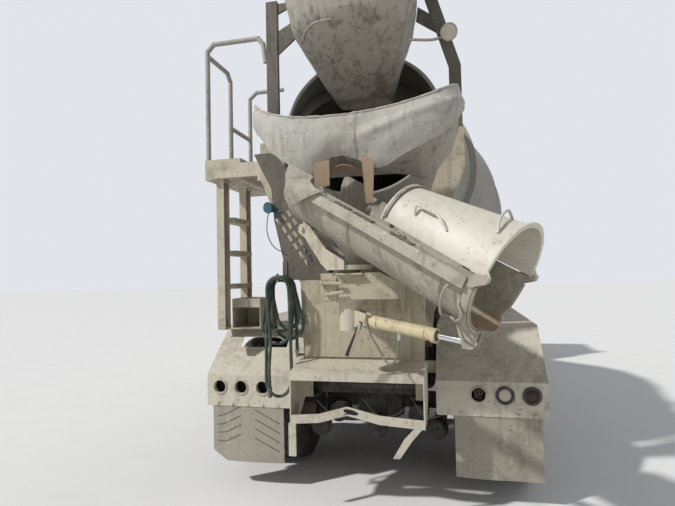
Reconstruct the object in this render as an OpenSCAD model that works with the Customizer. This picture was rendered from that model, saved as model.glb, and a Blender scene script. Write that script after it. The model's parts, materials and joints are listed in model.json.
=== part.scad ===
// Rear-discharge concrete mixer truck: long-nose cab, tandem rear axle, tilted drum and folding chute.
// +Y is forward, +X is the truck's right side, +Z is up. The ground is Z 0.
// Every module is drawn with Y measured forward from the rear face of the fenders.

/* [Truck] */
// Width over the rear fenders
body_w = 2490; // [2400:10:2560]
// Wheelbase beyond the drum's length
axle_ahead = 900; // [750:10:1150]
// Spacing of the two rear axles
tandem_gap = 1320; // [1280:10:1380]
// Middle of the tandem to the rear face of the fenders
rear_overhang = 1450; // [1420:10:1520]
// Front axle to the front of the bumper
front_overhang = 1150; // [1120:10:1200]
// Rear face of the fenders to the far end of the stowed chute
chute_overhang = 1240; // [1200:10:1320]

/* [Frame] */
// Width over the frame rails
frame_w = 860; // [840:5:880]
// Height of the top of the frame above the ground
frame_top = 985; // [975:5:1000]
// Depth of a rail
rail_h = 270; // [240:5:300]
// Width of a rail's flange
rail_flange = 90; // [80:5:100]
// Thickness of a rail
rail_t = 10; // [8:1:12]

/* [Wheels] */
// Radius of a rear tyre
rear_tyre_r = 515; // [500:5:525]
// Width of a rear tyre
rear_tyre_w = 278; // [260:2:290]
// Distance between the two tyres of a twin wheel, middle to middle
twin_gap = 325; // [315:1:335]
// Middle of an outer rear tyre from the truck's middle plane
rear_track_half = 1080; // [1070:5:1095]
// Radius of a front tyre
front_tyre_r = 560; // [550:5:570]
// Width of a front tyre
front_tyre_w = 410; // [390:2:420]
// Middle of a front tyre from the truck's middle plane
front_track_half = 1010; // [1000:5:1015]
// Radius of the rim's seat for the tyre
rim_r = 286; // [280:1:290]
// Kingpin from the truck's middle plane
kingpin_half = 850; // [840:5:855]

/* [Drum] */
// Height of the middle of the drum's mouth
mouth_z = 2750; // [2720:10:2780]
// Mouth forward of the rear face of the fenders
mouth_y = 120; // [100:10:150]
// Slope of the drum's axis, down towards the cab
drum_tilt = 13; // [12:0.5:13.5]
// Length of the drum along its axis
drum_len = 4550; // [4450:10:4600]
// Radius of the drum's mouth
mouth_r = 590; // [570:5:600]
// Largest radius of the drum
drum_r = 1175; // [1140:5:1180]
// Radius of the drum's front head
head_r = 620; // [580:5:660]
// Thickness of the drum's shell
shell_t = 8; // [6:1:10]
// Track ring from the mouth, along the axis
ring_s = 950; // [930:5:1000]
// Radius of the track ring
ring_r = 870; // [860:5:880]
// Width of the track ring
ring_w = 90; // [80:5:100]
// Radius of a drum roller
roller_r = 125; // [115:5:130]
// Angle of a roller from the bottom of the drum
roller_angle = 32; // [30:1:34]

/* [Chute] */
// Chute's turning post behind the rear face of the fenders
post_back = 450; // [430:5:460]
// Angle that the stowed chute is turned back from straight right
chute_turn = 28; // [25:1:32]
// Slope of the stowed chute
chute_slope = 28.2; // [27:0.2:29]
// Length of the main chute
chute_len = 1490; // [1450:10:1500]
// Radius of the main chute's trough
trough_r = 280; // [275:1:285]
// Thickness of the chutes' sheet
sheet_t = 6; // [5:1:8]
// Length of the folding chute
fold_len = 720; // [680:10:740]
// Radius of the folding chute at its free end
fold_end_r = 215; // [200:5:240]
// Height of the chute's tilt pin
tilt_pin_z = 1900; // [1880:5:1920]
// Tilt pin on the other side of the turning post from the chute's mouth
tilt_pin_back = 270; // [260:5:280]
// Top of the turntable
table_z = 1655; // [1640:5:1665]

/* [Rear body] */
// Height of the fenders' flat top
fender_top = 1185; // [1175:5:1200]
// Top of the fenders' rear face
face_top = 840; // [820:5:860]
// Bottom of the fenders' rear face
face_bottom = 604; // [590:2:620]
// Inner edge of a fender from the middle plane
fender_inner = 505; // [500:5:520]
// Thickness of fender sheet
fender_t = 5; // [4:1:8]
// Radius of a lamp's hole
lamp_hole_r = 57; // [52:1:60]
// Spacing of the lamps
lamp_gap = 174; // [165:1:180]
// Bottom of the mud flaps
flap_bottom = 180; // [170:5:250]
// Half width of the rear bumper box
box_half = 450; // [440:5:460]
// Bumper box behind the rear face of the fenders
box_back = 360; // [340:5:370]
// Top of the bumper box
box_top = 945; // [935:5:960]
// Bottom of the bumper box
box_bottom = 600; // [580:5:620]
// Height of the platform's floor
platform_z = 2362; // [2340:2:2380]
// Height of the handrails' top
handrail_top = 3460; // [3400:10:3480]
// Radius of a handrail tube
rail_tube_r = 19; // [16:1:21]

/* [Wash hose] */
// Radius of the hose
hose_r = 12; // [10:1:13]
// Height of the hose's hook
hook_z = 1560; // [1550:5:1570]

/* [Cab] */
// Width of the cab
cab_w = 2040; // [1980:10:2080]
// Height of the cab's roof
cab_roof = 2790; // [2750:10:2820]
// Height of the underside of the cab
cab_floor = 1150; // [1130:5:1160]
// Bumper face to the back of the cab
bumper_to_cab_back = 2850; // [2820:10:2900]
// Thickness of the cab's walls and doors
cab_wall = 45; // [40:1:50]
// Gap around a door
door_gap = 8; // [6:1:10]
// Thickness of the glass
glass_t = 6; // [5:1:8]

/* [Hidden] */
$fn = 48;
seat_gap = 0.3;
run_gap = 0.5;
body_half = body_w / 2;
wheelbase = drum_len + axle_ahead;
total_len = chute_overhang + rear_overhang + wheelbase + front_overhang;
face_y = -total_len / 2 + chute_overhang;
tandem_y = rear_overhang;
rear_axle_ys = [tandem_y - tandem_gap / 2, tandem_y + tandem_gap / 2];
front_y = rear_overhang + wheelbase;
bumper_y = front_y + front_overhang;
cab_back = bumper_y - bumper_to_cab_back;
frame_bottom = frame_top - rail_h;
rail_out = frame_w / 2;
rail_in = rail_out - rail_flange;
sides = [-1, 1];

// Points of a polygon whose corners [x, y, r] are rounded to radius r
function unit(v) = v / norm(v);
function xy(p) = [p[0], p[1]];
function corner(a, b, c, r, n) = r <= 0 ? [b] :
    let (u = unit(a - b), v = unit(c - b), half = acos(u * v) / 2,
         ctr = b + unit(u + v) * (r / sin(half)),
         p0 = b + u * (r / tan(half)), p1 = b + v * (r / tan(half)),
         a0 = atan2(p0[1] - ctr[1], p0[0] - ctr[0]), a1 = atan2(p1[1] - ctr[1], p1[0] - ctr[0]),
         da = ((a1 - a0 + 540) % 360) - 180)
    [for (i = [0 : n]) ctr + r * [cos(a0 + da * i / n), sin(a0 + da * i / n)]];
function rounded(p, n = 4) = let (k = len(p))
    [for (i = [0 : k - 1]) each corner(xy(p[(i + k - 1) % k]), xy(p[i]), xy(p[(i + 1) % k]), p[i][2], n)];

// A side-view outline [y, z] given a thickness from x0 to x1
module side_plate(x0, x1, points) {
    translate([x0, 0, 0]) rotate([90, 0, 90]) linear_extrude(x1 - x0) polygon(points);
}
// A rear-view outline [x, z] given a thickness from y0 forward to y1
module face_plate(y0, y1, points) {
    translate([0, y1, 0]) rotate([90, 0, 0]) linear_extrude(y1 - y0) polygon(points);
}
// A plan outline [x, y] from z0 up to z1
module plan_plate(z0, z1, points) {
    translate([0, 0, z0]) linear_extrude(z1 - z0) polygon(points);
}
module box(x0, x1, y0, y1, z0, z1) {
    translate([x0, y0, z0]) cube([x1 - x0, y1 - y0, z1 - z0]);
}
// A round bar between two points
module bar(a, b, r) {
    d = b - a;
    translate(a) rotate([0, acos(d[2] / norm(d)), atan2(d[1], d[0])]) cylinder(h = norm(d), r = r, $fn = 24);
}
// A bent round tube through a list of points, with a ball at each bend
module tube_run(points, r) {
    for (i = [0 : len(points) - 2]) bar(points[i], points[i + 1], r);
    for (i = [1 : len(points) - 2]) translate(points[i]) sphere(r = r + 1, $fn = 24);
}
// Measured from the rear face of the fenders
module at_face() {
    translate([0, face_y, 0]) children();
}
module both_sides() {
    children();
    mirror([1, 0, 0]) children();
}
module x_cylinder(x0, x1, y, z, r) {
    translate([x0, y, z]) rotate([0, 90, 0]) cylinder(h = x1 - x0, r = r);
}

// Chassis

crossmember_ys = [100, 620, 1450, 2600, 3900, cab_back - 100, cab_back + 400, bumper_y - 450];
rail_front_y = bumper_y - 350;

module frame_rails() {
    color("dimgray") at_face() {
        both_sides() difference() {
            box(rail_in, rail_out, -60, rail_front_y, frame_bottom, frame_top);
            box(rail_in - 1, rail_out - rail_t, -61, rail_front_y + 1, frame_bottom + rail_t,
                frame_top - rail_t);
        }
        for (y = crossmember_ys) box(-rail_out + rail_t, rail_out - rail_t, y - 50, y + 50,
            frame_bottom + rail_t, frame_top - 115);
        both_sides() side_plate(rail_in + 20, rail_out, [[rail_front_y, frame_top - 40],
            [rail_front_y, frame_bottom],
            [rail_front_y + 60, 560], [bumper_y - 130, 560], [bumper_y - 130, 700],
            [rail_front_y + 60, 760]]);
    }
}

bumper_half = 1200;
bumper_z0 = 430;
bumper_z1 = 750;

hinge_y = bumper_y - 60;
hinge_z = 772;
hinge_x = 300;
hinge_pin_r = 12;
tow_pin_r = 18;
bumper_t = 12;

module bumper_outline(t) {
    polygon(rounded([[-bumper_half + t, bumper_y - 330 - t, 0], [-bumper_half + t,
        bumper_y - 110 - t / 2, 100],
        [-bumper_half + 230, bumper_y - t, 100], [bumper_half - 230, bumper_y - t, 100],
        [bumper_half - t, bumper_y - 110 - t / 2, 100], [bumper_half - t, bumper_y - 330 - t, 0]]));
}
module front_bumper() {
    color("silver") at_face() {
        difference() {
            translate([0, 0, bumper_z0]) linear_extrude(bumper_z1 - bumper_z0) bumper_outline(0);
            translate([0, 0, bumper_z0 - 1]) linear_extrude(bumper_z1 - bumper_z0 + 2)
                bumper_outline(bumper_t);
            for (s = sides) translate([s * 800, bumper_y, 620]) rotate([90, 0, 0])
                cylinder(h = 300, r = 55, center = true);
        }
        // Stays to the frame horns with the tow pin's hole, and the hood's hinge lugs
        difference() {
            box(-bumper_half + 300, bumper_half - 300, bumper_y - 130 + seat_gap,
                bumper_y - bumper_t + 1, 560, 700);
            translate([0, hinge_y, 559]) cylinder(h = 142, r = tow_pin_r);
        }
        for (s = sides) {
            side_plate(s * hinge_x - 36, s * hinge_x - 24, [[hinge_y - 60, 699], [hinge_y + 40, 699],
                [hinge_y + 20, hinge_z + 16], [hinge_y - 20, hinge_z + 16]]);
            x_cylinder(s * hinge_x - 36, s * hinge_x + 20, hinge_y, hinge_z, hinge_pin_r);
        }
    }
}

module engine_block() {
    color("gray") at_face() {
        box(-360, 360, bumper_y - 1290, bumper_y - 600, frame_top + seat_gap, frame_top + 480);
        box(-rail_in + 50, rail_in - 50, bumper_y - 1290, bumper_y - 600, 640, frame_top + 1);
        box(-rail_in + 90, rail_in - 90, bumper_y - 2300, bumper_y - 1290, 700, frame_top + 90);
        box(-430, 430, bumper_y - 540, bumper_y - 460, frame_top + seat_gap, frame_top + 500);
    }
}

// Axles and wheels

axle_tube_r = 70;
spindle_r = 60;
spindle_end = rear_track_half - 60;
front_spindle_r = 45;
front_spindle_end = front_track_half + 60;
beam_x = 470;
beam_w = 80;

module rear_axles() {
    color("dimgray") at_face() {
        for (y = rear_axle_ys) {
            x_cylinder(-600, 600, y, rear_tyre_r, axle_tube_r);
            x_cylinder(-spindle_end, spindle_end, y, rear_tyre_r, spindle_r);
            translate([0, y, rear_tyre_r]) rotate([0, 90, 0]) rotate_extrude()
                polygon([[0, -190], [130, -190], [195, -60], [195, 60], [130, 190], [0, 190]]);
            translate([0, y + 330, rear_tyre_r + 40]) rotate([90, 0, 0]) cylinder(h = 240, r = 75);
            for (s = sides) {
                translate([s * 330, y - 60, rear_tyre_r - 70]) rotate([90, 0, 0]) cylinder(h = 190, r = 80);
                box(s * 330 - 25, s * 330 + 25, y - 80, y, rear_tyre_r - 100, rear_tyre_r - 30);
                box(s * (beam_x + beam_w / 2) - 40, s * (beam_x + beam_w / 2)
                    + 40, y - 80, y + 80, 340, rear_tyre_r);
            }
        }
        both_sides() {
            box(beam_x, beam_x + beam_w, rear_axle_ys[0] - 60, rear_axle_ys[1] + 60, 340, 430);
            side_plate(beam_x, beam_x + beam_w, [[tandem_y - 260, 430], [tandem_y + 260, 430],
                [tandem_y + 120, frame_top - 60], [tandem_y - 120, frame_top - 60]]);
            box(rail_out + seat_gap, beam_x + beam_w, tandem_y - 120, tandem_y + 120, frame_bottom + 40,
                frame_top - 60);
        }
        // Propeller shaft from the gearbox to the forward rear axle
        translate([0, rear_axle_ys[1] + 320, rear_tyre_r + 40]) rotate([-89, 0, 0])
            cylinder(h = bumper_y - 2310 - rear_axle_ys[1] - 320, r = 50);
        translate([0, rear_axle_ys[0] + 60, rear_tyre_r + 40]) rotate([-90, 0, 0])
            cylinder(h = tandem_gap, r = 40);
    }
}

module front_axle() {
    color("dimgray") at_face() {
        box(-kingpin_half + 90, kingpin_half - 90, front_y - 50, front_y + 50, 400, 490);
        both_sides() {
            side_plate(kingpin_half - 130, kingpin_half - 62, [[front_y - 50, 400], [front_y + 50, 400],
                [front_y + 50, 615], [front_y - 50, 615]]);
            difference() {
                translate([kingpin_half, front_y, 495]) cylinder(h = 120, r = 64);
                translate([kingpin_half, front_y, 490]) cylinder(h = 130, r = 25 + run_gap);
            }
            side_plate(rail_in + 5, rail_in + 85, [[front_y - 780, frame_bottom - 60], [front_y - 300, 545],
                [front_y + 300, 545], [front_y + 700, frame_bottom - 60],
                [front_y + 690, frame_bottom - seat_gap],
                [front_y + 640, frame_bottom - seat_gap], [front_y + 280, 600], [front_y - 280, 600],
                [front_y - 720, frame_bottom - seat_gap], [front_y - 770, frame_bottom - seat_gap]]);
            box(rail_in + 5, rail_in + 85, front_y - 70, front_y + 70, 490, 560);
        }
    }
}

// Steering knuckle on the right; the left one is its mirror image
module knuckle() {
    translate([kingpin_half, front_y, 440]) cylinder(h = 230, r = 25);
    for (z = [440, 615.5 + run_gap]) {
        translate([kingpin_half, front_y, z]) cylinder(h = 50, r = 60);
        box(kingpin_half, kingpin_half + 95, front_y - 45, front_y + 45, z, z + 50);
    }
    box(kingpin_half + 70, kingpin_half + 95, front_y - 70, front_y + 70, 440, 666);
    x_cylinder(kingpin_half + 80, front_spindle_end, front_y, front_tyre_r, front_spindle_r);
    box(kingpin_half - 25, kingpin_half + 25, front_y - 210, front_y - 40, 450, 480);
}
module knuckle_left() {
    color("dimgray") at_face() mirror([1, 0, 0]) knuckle();
}
module knuckle_right() {
    color("dimgray") at_face() knuckle();
}

// A tyre about its own middle, turned about the axle
module tyre(x, y, r, w) {
    seat = rim_r + seat_gap;
    translate([x, y, r]) rotate([0, 90, 0]) rotate_extrude($fn = 72) polygon(rounded([
        [seat, -w / 2 + 45, 0], [seat + 40, -w / 2 + 8, 30], [(r + seat) / 2, -w / 2, 80],
        [r - 40, -w / 2 + 12, 30], [r, -w / 2 + 30, 20], [r, w / 2 - 30, 20], [r - 40, w / 2 - 12, 30],
        [(r + seat) / 2, w / 2, 80], [seat + 40, w / 2 - 8, 30], [seat, w / 2 - 45, 0]], 3));
}

module front_tyre(s) {
    tyre(s * front_track_half, front_y, front_tyre_r, front_tyre_w);
}
module twin_tyres(s, y) {
    for (x = [rear_track_half, rear_track_half - twin_gap]) tyre(s * x, y, rear_tyre_r, rear_tyre_w);
}

// Rims as outlines [radius, distance outward from the truck's middle plane]
module front_rim(s) {
    m = front_track_half;
    e = front_tyre_w / 2 - 45;
    translate([0, front_y, front_tyre_r]) rotate([0, 90 * s, 0]) difference() {
        rotate_extrude() polygon([[0, m - 40], [95, m - 40], [95, m + 30], [190, m + 30],
            [rim_r - 14, m + 70],
            [rim_r - 14, m - e], [rim_r, m - e], [rim_r, m + e], [rim_r - 14, m + e], [rim_r - 14, m + 95],
            [190, m + 52], [110, m + 52], [100, m + 120], [0, m + 125]]);
        cylinder(h = front_spindle_end + 1, r = front_spindle_r + run_gap);
        for (i = [0 : 9]) rotate(36 * i) translate([225, 0, m]) cylinder(h = 120, r = 22);
    }
}
module twin_rims(s, y) {
    m = rear_track_half - twin_gap / 2;
    c = twin_gap / 2;
    e = rear_tyre_w / 2 - 45;
    translate([0, y, rear_tyre_r]) rotate([0, 90 * s, 0]) difference() {
        rotate_extrude() polygon([[0, m - 150], [110, m - 150], [110, m - 22], [200, m - 22],
            [rim_r - 14, m - c + 65], [rim_r - 14, m - c - e], [rim_r, m - c - e], [rim_r, m - c + e],
            [rim_r - 14, m - c + e], [rim_r - 14, m - c + 90], [190, m], [rim_r - 14, m + c - 90],
            [rim_r - 14, m + c - e], [rim_r, m + c - e], [rim_r, m + c + e], [rim_r - 14, m + c + e],
            [rim_r - 14, m + c - 65], [200, m + 22], [110, m + 22], [95, m + 130], [0, m + 130]]);
        cylinder(h = spindle_end + 1, r = spindle_r + run_gap);
        for (i = [0 : 9]) rotate(36 * i) translate([232, 0, m - 120]) cylinder(h = 240, r = 20);
    }
}
module tyre_front_left() {
    color("black") at_face() front_tyre(-1);
}
module rim_front_left() {
    color("silver") at_face() front_rim(-1);
}
module tyre_front_right() {
    color("black") at_face() front_tyre(1);
}
module rim_front_right() {
    color("silver") at_face() front_rim(1);
}
module tyres_rear_left() {
    color("black") at_face() twin_tyres(-1, rear_axle_ys[0]);
}
module rims_rear_left() {
    color("silver") at_face() twin_rims(-1, rear_axle_ys[0]);
}
module tyres_rear_right() {
    color("black") at_face() twin_tyres(1, rear_axle_ys[0]);
}
module rims_rear_right() {
    color("silver") at_face() twin_rims(1, rear_axle_ys[0]);
}
module tyres_mid_left() {
    color("black") at_face() twin_tyres(-1, rear_axle_ys[1]);
}
module rims_mid_left() {
    color("silver") at_face() twin_rims(-1, rear_axle_ys[1]);
}
module tyres_mid_right() {
    color("black") at_face() twin_tyres(1, rear_axle_ys[1]);
}
module rims_mid_right() {
    color("silver") at_face() twin_rims(1, rear_axle_ys[1]);
}

// Drum

// The drum's belly lies between these places along its axis
belly_s = [0.418 * drum_len, 0.725 * drum_len];
drum_rows = [
    // along the axis from the mouth, outer radius
    [0, mouth_r], [150, 640], [ring_s, 830], [belly_s[0], 1110], [0.501 * drum_len, drum_r],
        [0.633 * drum_len, drum_r],
    [belly_s[1], 1085], [0.934 * drum_len, 740], [drum_len, head_r]];

// Upright frame with +Z down the drum's axis from the middle of its mouth
module on_drum_axis() {
    translate([0, mouth_y, mouth_z]) rotate([-90 - drum_tilt, 0, 0]) children();
}
function drum_y(s, down) = mouth_y + s * cos(drum_tilt) - down * sin(drum_tilt);
function drum_z(s, down) = mouth_z - s * sin(drum_tilt) - down * cos(drum_tilt);
function drum_radius(s) = lookup(s, drum_rows);

module drum_shell() {
    color("gainsboro") at_face() on_drum_axis() rotate_extrude($fn = 96) {
        polygon(concat(drum_rows, [[drum_len, 0], [drum_len - shell_t, 0],
            [drum_len - shell_t, head_r - shell_t]],
            [for (i = [len(drum_rows) - 2 : -1 : 0]) drum_rows[i] - [0, shell_t]]) * [[0, 1], [1, 0]]);
        // Rolled lip of the mouth, and the flange on the gearbox
        translate([mouth_r, 8]) circle(r = 14, $fn = 24);
        polygon([[0, drum_len - 1], [180, drum_len - 1], [180, drum_len + 90], [0, drum_len + 90]]);
    }
    // Track ring, a rolled bar of its own round the cone
    color("gainsboro") at_face() on_drum_axis() rotate_extrude($fn = 96)
        polygon(concat([[ring_r, ring_s - ring_w / 2], [ring_r, ring_s + ring_w / 2]],
            [for (s = [ring_s + ring_w / 2, ring_s, ring_s - ring_w / 2]) [drum_radius(s) + seat_gap, s]]));
}

flight_steps = 60;
flight_s0 = 110;
flight_s1 = 4300;
flight_turns = 2.4;
flight_t = 6;
function flight_s(i) = flight_s0 + (flight_s1 - flight_s0) * i / flight_steps;
function flight_h(s) = lookup(s, [[0, 95], [400, 150], [900, 330], [2500, 430], [4300, 330]]);
function flight_ring(i, turn) = let (s = flight_s(i), a = turn + 360 * flight_turns * i / flight_steps,
    ro = min(drum_radius(s), drum_radius(s + flight_t)) - shell_t - seat_gap, ri = ro - flight_h(s),
    ci = [cos(a), sin(a)])
    [[ro * ci[0], ro * ci[1], s], [ri * ci[0], ri * ci[1], s - 60],
     [ri * ci[0], ri * ci[1], s - 60 + flight_t], [ro * ci[0], ro * ci[1], s + flight_t]];
module flight(turn) {
    pts = [for (i = [0 : flight_steps]) each flight_ring(i, turn)];
    n = flight_steps;
    polyhedron(pts, concat([[0, 1, 2, 3]], [[4 * n + 3, 4 * n + 2, 4 * n + 1, 4 * n]],
        [for (i = [0 : n - 1], k = [0 : 3]) let (a = 4 * i + k, b = 4 * i + (k + 1) % 4)
            each [[a, a + 4, b], [b, a + 4, b + 4]]]));
}
module drum_flights() {
    color("silver") at_face() on_drum_axis() for (turn = [0, 180]) flight(turn);
}

roller_w = ring_w + 10;
roller_pin_r = 30;
roller_y = drum_y(ring_s, (ring_r + roller_r + run_gap) * cos(roller_angle));
roller_z = drum_z(ring_s, (ring_r + roller_r + run_gap) * cos(roller_angle));
roller_x = (ring_r + roller_r + run_gap) * sin(roller_angle);

module drum_roller(s) {
    translate([s * roller_x, roller_y, roller_z]) rotate([-90 - drum_tilt, 0, 0]) difference() {
        cylinder(h = roller_w, r = roller_r, center = true);
        cylinder(h = roller_w + 2, r = roller_pin_r + run_gap, center = true);
    }
}
module roller_left() {
    color("dimgray") at_face() drum_roller(-1);
}
module roller_right() {
    color("dimgray") at_face() drum_roller(1);
}

module roller_pedestal() {
    color("gainsboro") at_face() both_sides() {
        translate([roller_x, roller_y, roller_z]) rotate([-90 - drum_tilt, 0, 0]) {
            cylinder(h = roller_w + 60, r = roller_pin_r, center = true);
            for (z = [-roller_w / 2 - 24, roller_w / 2 + 4]) translate([0, 0, z]) {
                cylinder(h = 20, r = 60);
                translate([-60, 0, 0]) cube([120, 130, 20]);
            }
        }
        translate([roller_x, roller_y, roller_z]) rotate([-90 - drum_tilt, 0, 0])
            translate([-100, 128, -110]) cube([200, 20, 220]);
        face_plate(roller_y - 250, roller_y - 90, [[rail_in + 5, frame_top + seat_gap],
            [rail_out + 20, frame_top + seat_gap],
            [rail_out + 40, fender_top + 65], [roller_x + 90, roller_z - 130],
            [roller_x + 90, roller_z - 110], [roller_x - 90, roller_z - 110],
            [roller_x - 90, roller_z - 130]]);
    }
    color("gainsboro") at_face() box(-rail_out, rail_out, roller_y - 200, roller_y - 110,
        frame_top + seat_gap, frame_top + 90);
}

drive_y = drum_y(drum_len, 0) + 90;
drive_z = drum_z(drum_len, 0);

module drive_pedestal() {
    color("dimgray") at_face() {
        on_drum_axis() translate([0, 0, drum_len + 90 + run_gap]) cylinder(h = 260, r = 200);
        both_sides() side_plate(rail_in + 10, rail_in + 40, [[drive_y - 60, frame_top + seat_gap],
            [drive_y + 330, frame_top + seat_gap], [drive_y + 230, drive_z + 100],
            [drive_y + 60, drive_z + 140]]);
        box(-rail_in - 20, rail_in + 20, drive_y + 70, drive_y + 210, drive_z - 260, drive_z + 40);
        box(-rail_in - 20, rail_in + 20, drive_y - 40, drive_y + 300, frame_top + seat_gap, frame_top + 40);
    }
}

// Rear body

lamp_xs = [for (i = [-1 : 1]) body_half - 280 + i * lamp_gap];
lamp_z = 751;
lamp_depth = 90;
fender_front = rear_axle_ys[1] + rear_tyre_r + 130;
fender_outline = [[0, face_bottom], [0, face_top], [330, 1110], [420, fender_top],
    [fender_front - 260, fender_top],
    [fender_front - 60, 1040], [fender_front, 760]];
fender_inset = [[fender_t, face_bottom - 1], [fender_t, face_top - 2], [334, 1110 - fender_t],
    [422, fender_top - fender_t], [fender_front - 262, fender_top - fender_t], [fender_front - 64, 1038],
    [fender_front - fender_t, 759]];

// Room for the turning drum where its belly passes between the fenders
drum_gap = 25;
module drum_room() {
    rows = [for (row = drum_rows) if (row[0] >= belly_s[0] && row[0] <= belly_s[1])
        [row[1] + drum_gap, row[0]]];
    on_drum_axis() rotate_extrude($fn = 96) polygon(concat([[0, belly_s[0]]], rows, [[0, belly_s[1]]]));
}

// Dark step hole under the left shelf: x from and to, y from and to
step_hole = [-body_half + 175, -fender_inner - 165, 225, 318];
shelf_back = 262;

module rear_fenders() {
    color("gainsboro") at_face() difference() {
        both_sides() {
            difference() {
                side_plate(fender_inner, body_half, fender_outline);
                side_plate(fender_inner - 1, body_half + 1, fender_inset);
                for (x = lamp_xs) translate([x, 0, lamp_z]) rotate([90, 0, 0])
                    cylinder(h = 40, r = lamp_hole_r, center = true);
            }
            // Folded edges, lamp tubes and brackets to the frame
            side_plate(body_half - fender_t, body_half, [[0, face_bottom], [0, face_top], [330, 1110],
                [420, fender_top],
                [fender_front - 260, fender_top], [fender_front - 260, fender_top - 60],
                [440, fender_top - 60],
                [345, 1040], [60, 800], [60, face_bottom]]);
            side_plate(fender_inner, fender_inner + fender_t, [[0, face_bottom], [0, face_top], [330, 1110],
                [420, fender_top], [fender_front - 260, fender_top], [fender_front - 60, 1040],
                [fender_front, 760],
                [fender_front - 60, 760], [fender_front - 120, 1010], [fender_front - 290, 1090], [460, 1090],
                [120, 800], [120, face_bottom]]);
            for (x = lamp_xs) translate([x, 0, lamp_z]) rotate([-90, 0, 0]) difference() {
                cylinder(h = lamp_depth, r = lamp_hole_r + 4);
                translate([0, 0, -1]) cylinder(h = lamp_depth - 3, r = lamp_hole_r);
            }
            box(rail_out + seat_gap, fender_inner + fender_t, 140, 220, frame_top - 120, frame_top - 40);
            box(rail_out + seat_gap, fender_inner + fender_t, fender_front - 340, fender_front - 260,
                frame_top - 120,
                frame_top - 40);
            box(fender_inner, body_half, tandem_y - 30, tandem_y + 30, fender_top - 60,
                fender_top - fender_t + 1);
        }
        drum_room();
        box(step_hole[0], step_hole[1], step_hole[2], step_hole[3], 980, 1150);
    }
    color("gainsboro") at_face() {
        box(-body_half, -fender_inner, shelf_back, 421, fender_top - fender_t, fender_top);
        box(-body_half, -fender_inner, shelf_back, shelf_back + fender_t, fender_top - 22, fender_top - 1);
    }
}

flap_in = 625;
flap_out = 1201;

module mud_flaps() {
    color("dimgray") at_face() both_sides() {
        face_plate(fender_t + seat_gap, fender_t + seat_gap + 10, [[flap_in, 640], [flap_out, 640],
            [flap_out, flap_bottom], [flap_in, flap_bottom]]);
    }
}

tail_lamp_rows = [
    // which hole, counted outward from the middle of the truck
    1, 2];

module tail_lamps() {
    color("maroon") at_face() for (i = tail_lamp_rows) translate([lamp_xs[i], 12, lamp_z])
        rotate([-90, 0, 0]) {
        difference() {
            cylinder(h = 40, r = lamp_hole_r - seat_gap);
            translate([0, 0, -1]) cylinder(h = 9, r = lamp_hole_r - 14);
        }
    }
}

// Open-backed bumper box with its dented lower bar and two hanging straps
box_t = 8;
apron_bottom = [[-box_half, box_bottom], [-250, box_bottom + 15], [-55, box_bottom + 70],
    [160, box_bottom + 20],
    [box_half, box_bottom]];
module rear_apron() {
    color("gainsboro") at_face() {
        both_sides() {
            side_plate(box_half - box_t, box_half, [[-box_back, box_bottom], [-box_back, box_top],
                [fender_t - 12, box_top + 30], [fender_t - 12, frame_bottom], [-180, box_bottom]]);
            box(rail_out - 60, box_half - 1, -70, -60 - seat_gap, frame_bottom, box_top);
        }
        difference() {
            face_plate(-box_back, -box_back + box_t, concat(apron_bottom,
                [for (i = [4 : -1 : 0]) apron_bottom[i] + [0, 58]]));
            translate([-60, -box_back - 1, box_bottom + 78]) rotate([-90, 0, 0])
                cylinder(h = box_t + 2, r = 17);
        }
        face_plate(-box_back, -box_back + 150, concat(apron_bottom, [for (i = [4 : -1 : 0])
            apron_bottom[i] + [0, 7]]));
        side_plate(-box_half, box_half, [[-box_back, box_top - 55], [-box_back, box_top],
            [leg_y0 - 30 - seat_gap, box_top + 50], [leg_y0 - 30 - seat_gap, box_top + 42],
            [-box_back + box_t, box_top - box_t], [-box_back + box_t, box_top - 55]]);
        box(-box_half - 12, -box_half + 40, -box_back, -box_back + 9, 386, box_bottom + 5);
        face_plate(-box_back, -box_back + 9, [[380, box_bottom + 5], [432, box_bottom + 5], [360, 520],
            [285, 411],
            [240, 411], [312, 532]]);
    }
}

leg_in = 560;
leg_out = 750;
leg_y0 = -70;
leg_y1 = 40;
leg_top = 2600;
post_y = -post_back;
pipe_z = 1012;

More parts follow.
